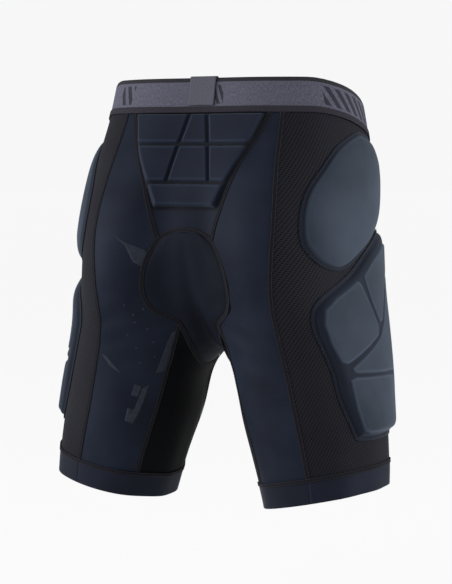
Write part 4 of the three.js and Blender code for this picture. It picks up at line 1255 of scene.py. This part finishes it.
# %% Transfer prints
FLAKES = [
    [(2, -160), (-9, -169), (-22, -176), (-12, -174)],
    [(-9, -169), (-27, -178), (-36, -202), (-18, -190)],
    [(8, -289), (1, -292), (-17, -310), (-4, -303)],
    [(-66, -262), (-60, -266), (-53, -310), (-63, -308)],
    [(-49, -322), (-42, -326), (-37, -352), (-45, -350)],
    [(-41, -324), (-33, -321), (-31, -333), (-39, -335)],
    [(-45, -350), (-30, -347), (-30, -361), (-40, -364)],
]
SPOTS = [(-14, -236), (-22, -246), (-30, -240), (-24, -254), (-36, -262), (-18, -268), (-44, -276),
         (-28, -282), (-48, -292), (-34, -298)]
FLAKES += [[(u - 1, z + 1), (u + 1, z + 1), (u + 1, z - 1), (u - 1, z - 1)] for u, z in SPOTS]


def flake(corners):
    a, b, c, d = (np.array(corner, float) for corner in corners)
    flat_place = patch([a, b], [d, c], [a, d], [b, c])

    def place(u, v):
        flat = flat_place(u, v)
        return lay(on_leg(flat), FABRIC + 0.12), flat, {}
    return place


flake_meshes = [grid("flake", 8, 12, flake(corners)) for corners in FLAKES]
prints = join("transfer_prints_left", flake_meshes, [print_ink])
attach(prints, "root")
thicken(prints, thickness=0.08)
print(len(FLAKES), "printed shapes")


# %% [markdown]
# ## Studio
# A plain pale floor and background, and three large soft lamps. The camera stands behind the wearer and
# slightly to their right, a little below the height of the waist.

# %% Floor, light and camera
scene = bpy.context.scene
bm = bmesh.new()
FLOOR_RADIUS, FLOOR_HEIGHT = 25.0, -0.62
bmesh.ops.create_circle(bm, cap_ends=True, segments=96, radius=FLOOR_RADIUS)
bmesh.ops.translate(bm, verts=bm.verts, vec=(0, 0, FLOOR_HEIGHT))
floor_mesh = bpy.data.meshes.new("floor")
bm.to_mesh(floor_mesh)
bm.free()
floor = bpy.data.objects.new("floor", floor_mesh)
scene.collection.objects.link(floor)
paper, tree, shader = finish("matt_studio_paper", 0.9)
shader.inputs["Base Color"].default_value = colour("#404040")
shader.inputs["Emission Color"].default_value = colour("#ffffff")
shader.inputs["Emission Strength"].default_value = 0.905
floor_mesh.materials.append(paper)

world = bpy.data.worlds.new("studio")
scene.world = world
world.use_nodes = True
sky = world.node_tree.nodes["Background"]
sky.inputs["Color"].default_value = colour("#f7f7f7")
# The background stays pale to look at, but lights the cloth less, so that its shape still shows.
seen = add(world.node_tree, "ShaderNodeLightPath").outputs["Is Camera Ray"]
lit = add(world.node_tree, "ShaderNodeMapRange", {"Value": seen, "To Min": 0.4, "To Max": 1.0})
world.node_tree.links.new(lit.outputs["Result"], sky.inputs["Strength"])
scene.view_settings.view_transform = "Standard"

AIM = Vector((0, 0, -0.235))
VIEW = math.radians(206)
toward = Vector((math.sin(VIEW), -math.cos(VIEW), 0))
sideways = Vector((-toward.y, toward.x, 0))


def lamp(name, where, size, watts):
    data = bpy.data.lights.new(name, "AREA")
    data.shape, data.size, data.energy = "SQUARE", size, watts
    light = bpy.data.objects.new(name, data)
    light.location = AIM + where
    light.rotation_euler = (AIM - light.location).to_track_quat("-Z", "Y").to_euler()
    scene.collection.objects.link(light)


lamp("key", toward * 1.6 - sideways * 1.9 + Vector((0, 0, 1.6)), 1.4, 34)
lamp("side", sideways * 2.2 + toward * 0.3 + Vector((0, 0, 0.5)), 1.2, 48)
lamp("far_side", -sideways * 2.2 + toward * 0.2 + Vector((0, 0, 0.4)), 1.2, 38)

camera_data = bpy.data.cameras.new("camera")
camera = bpy.data.objects.new("camera", camera_data)
scene.collection.objects.link(camera)
camera.location = toward * 1.9 + Vector((0, 0, -0.08))
camera.rotation_euler = (AIM - camera.location).to_track_quat("-Z", "Y").to_euler()
camera_data.lens, camera_data.sensor_fit = 107.95, "AUTO"
camera_data.shift_x, camera_data.shift_y = -0.0147, 0.0103
scene.camera = camera
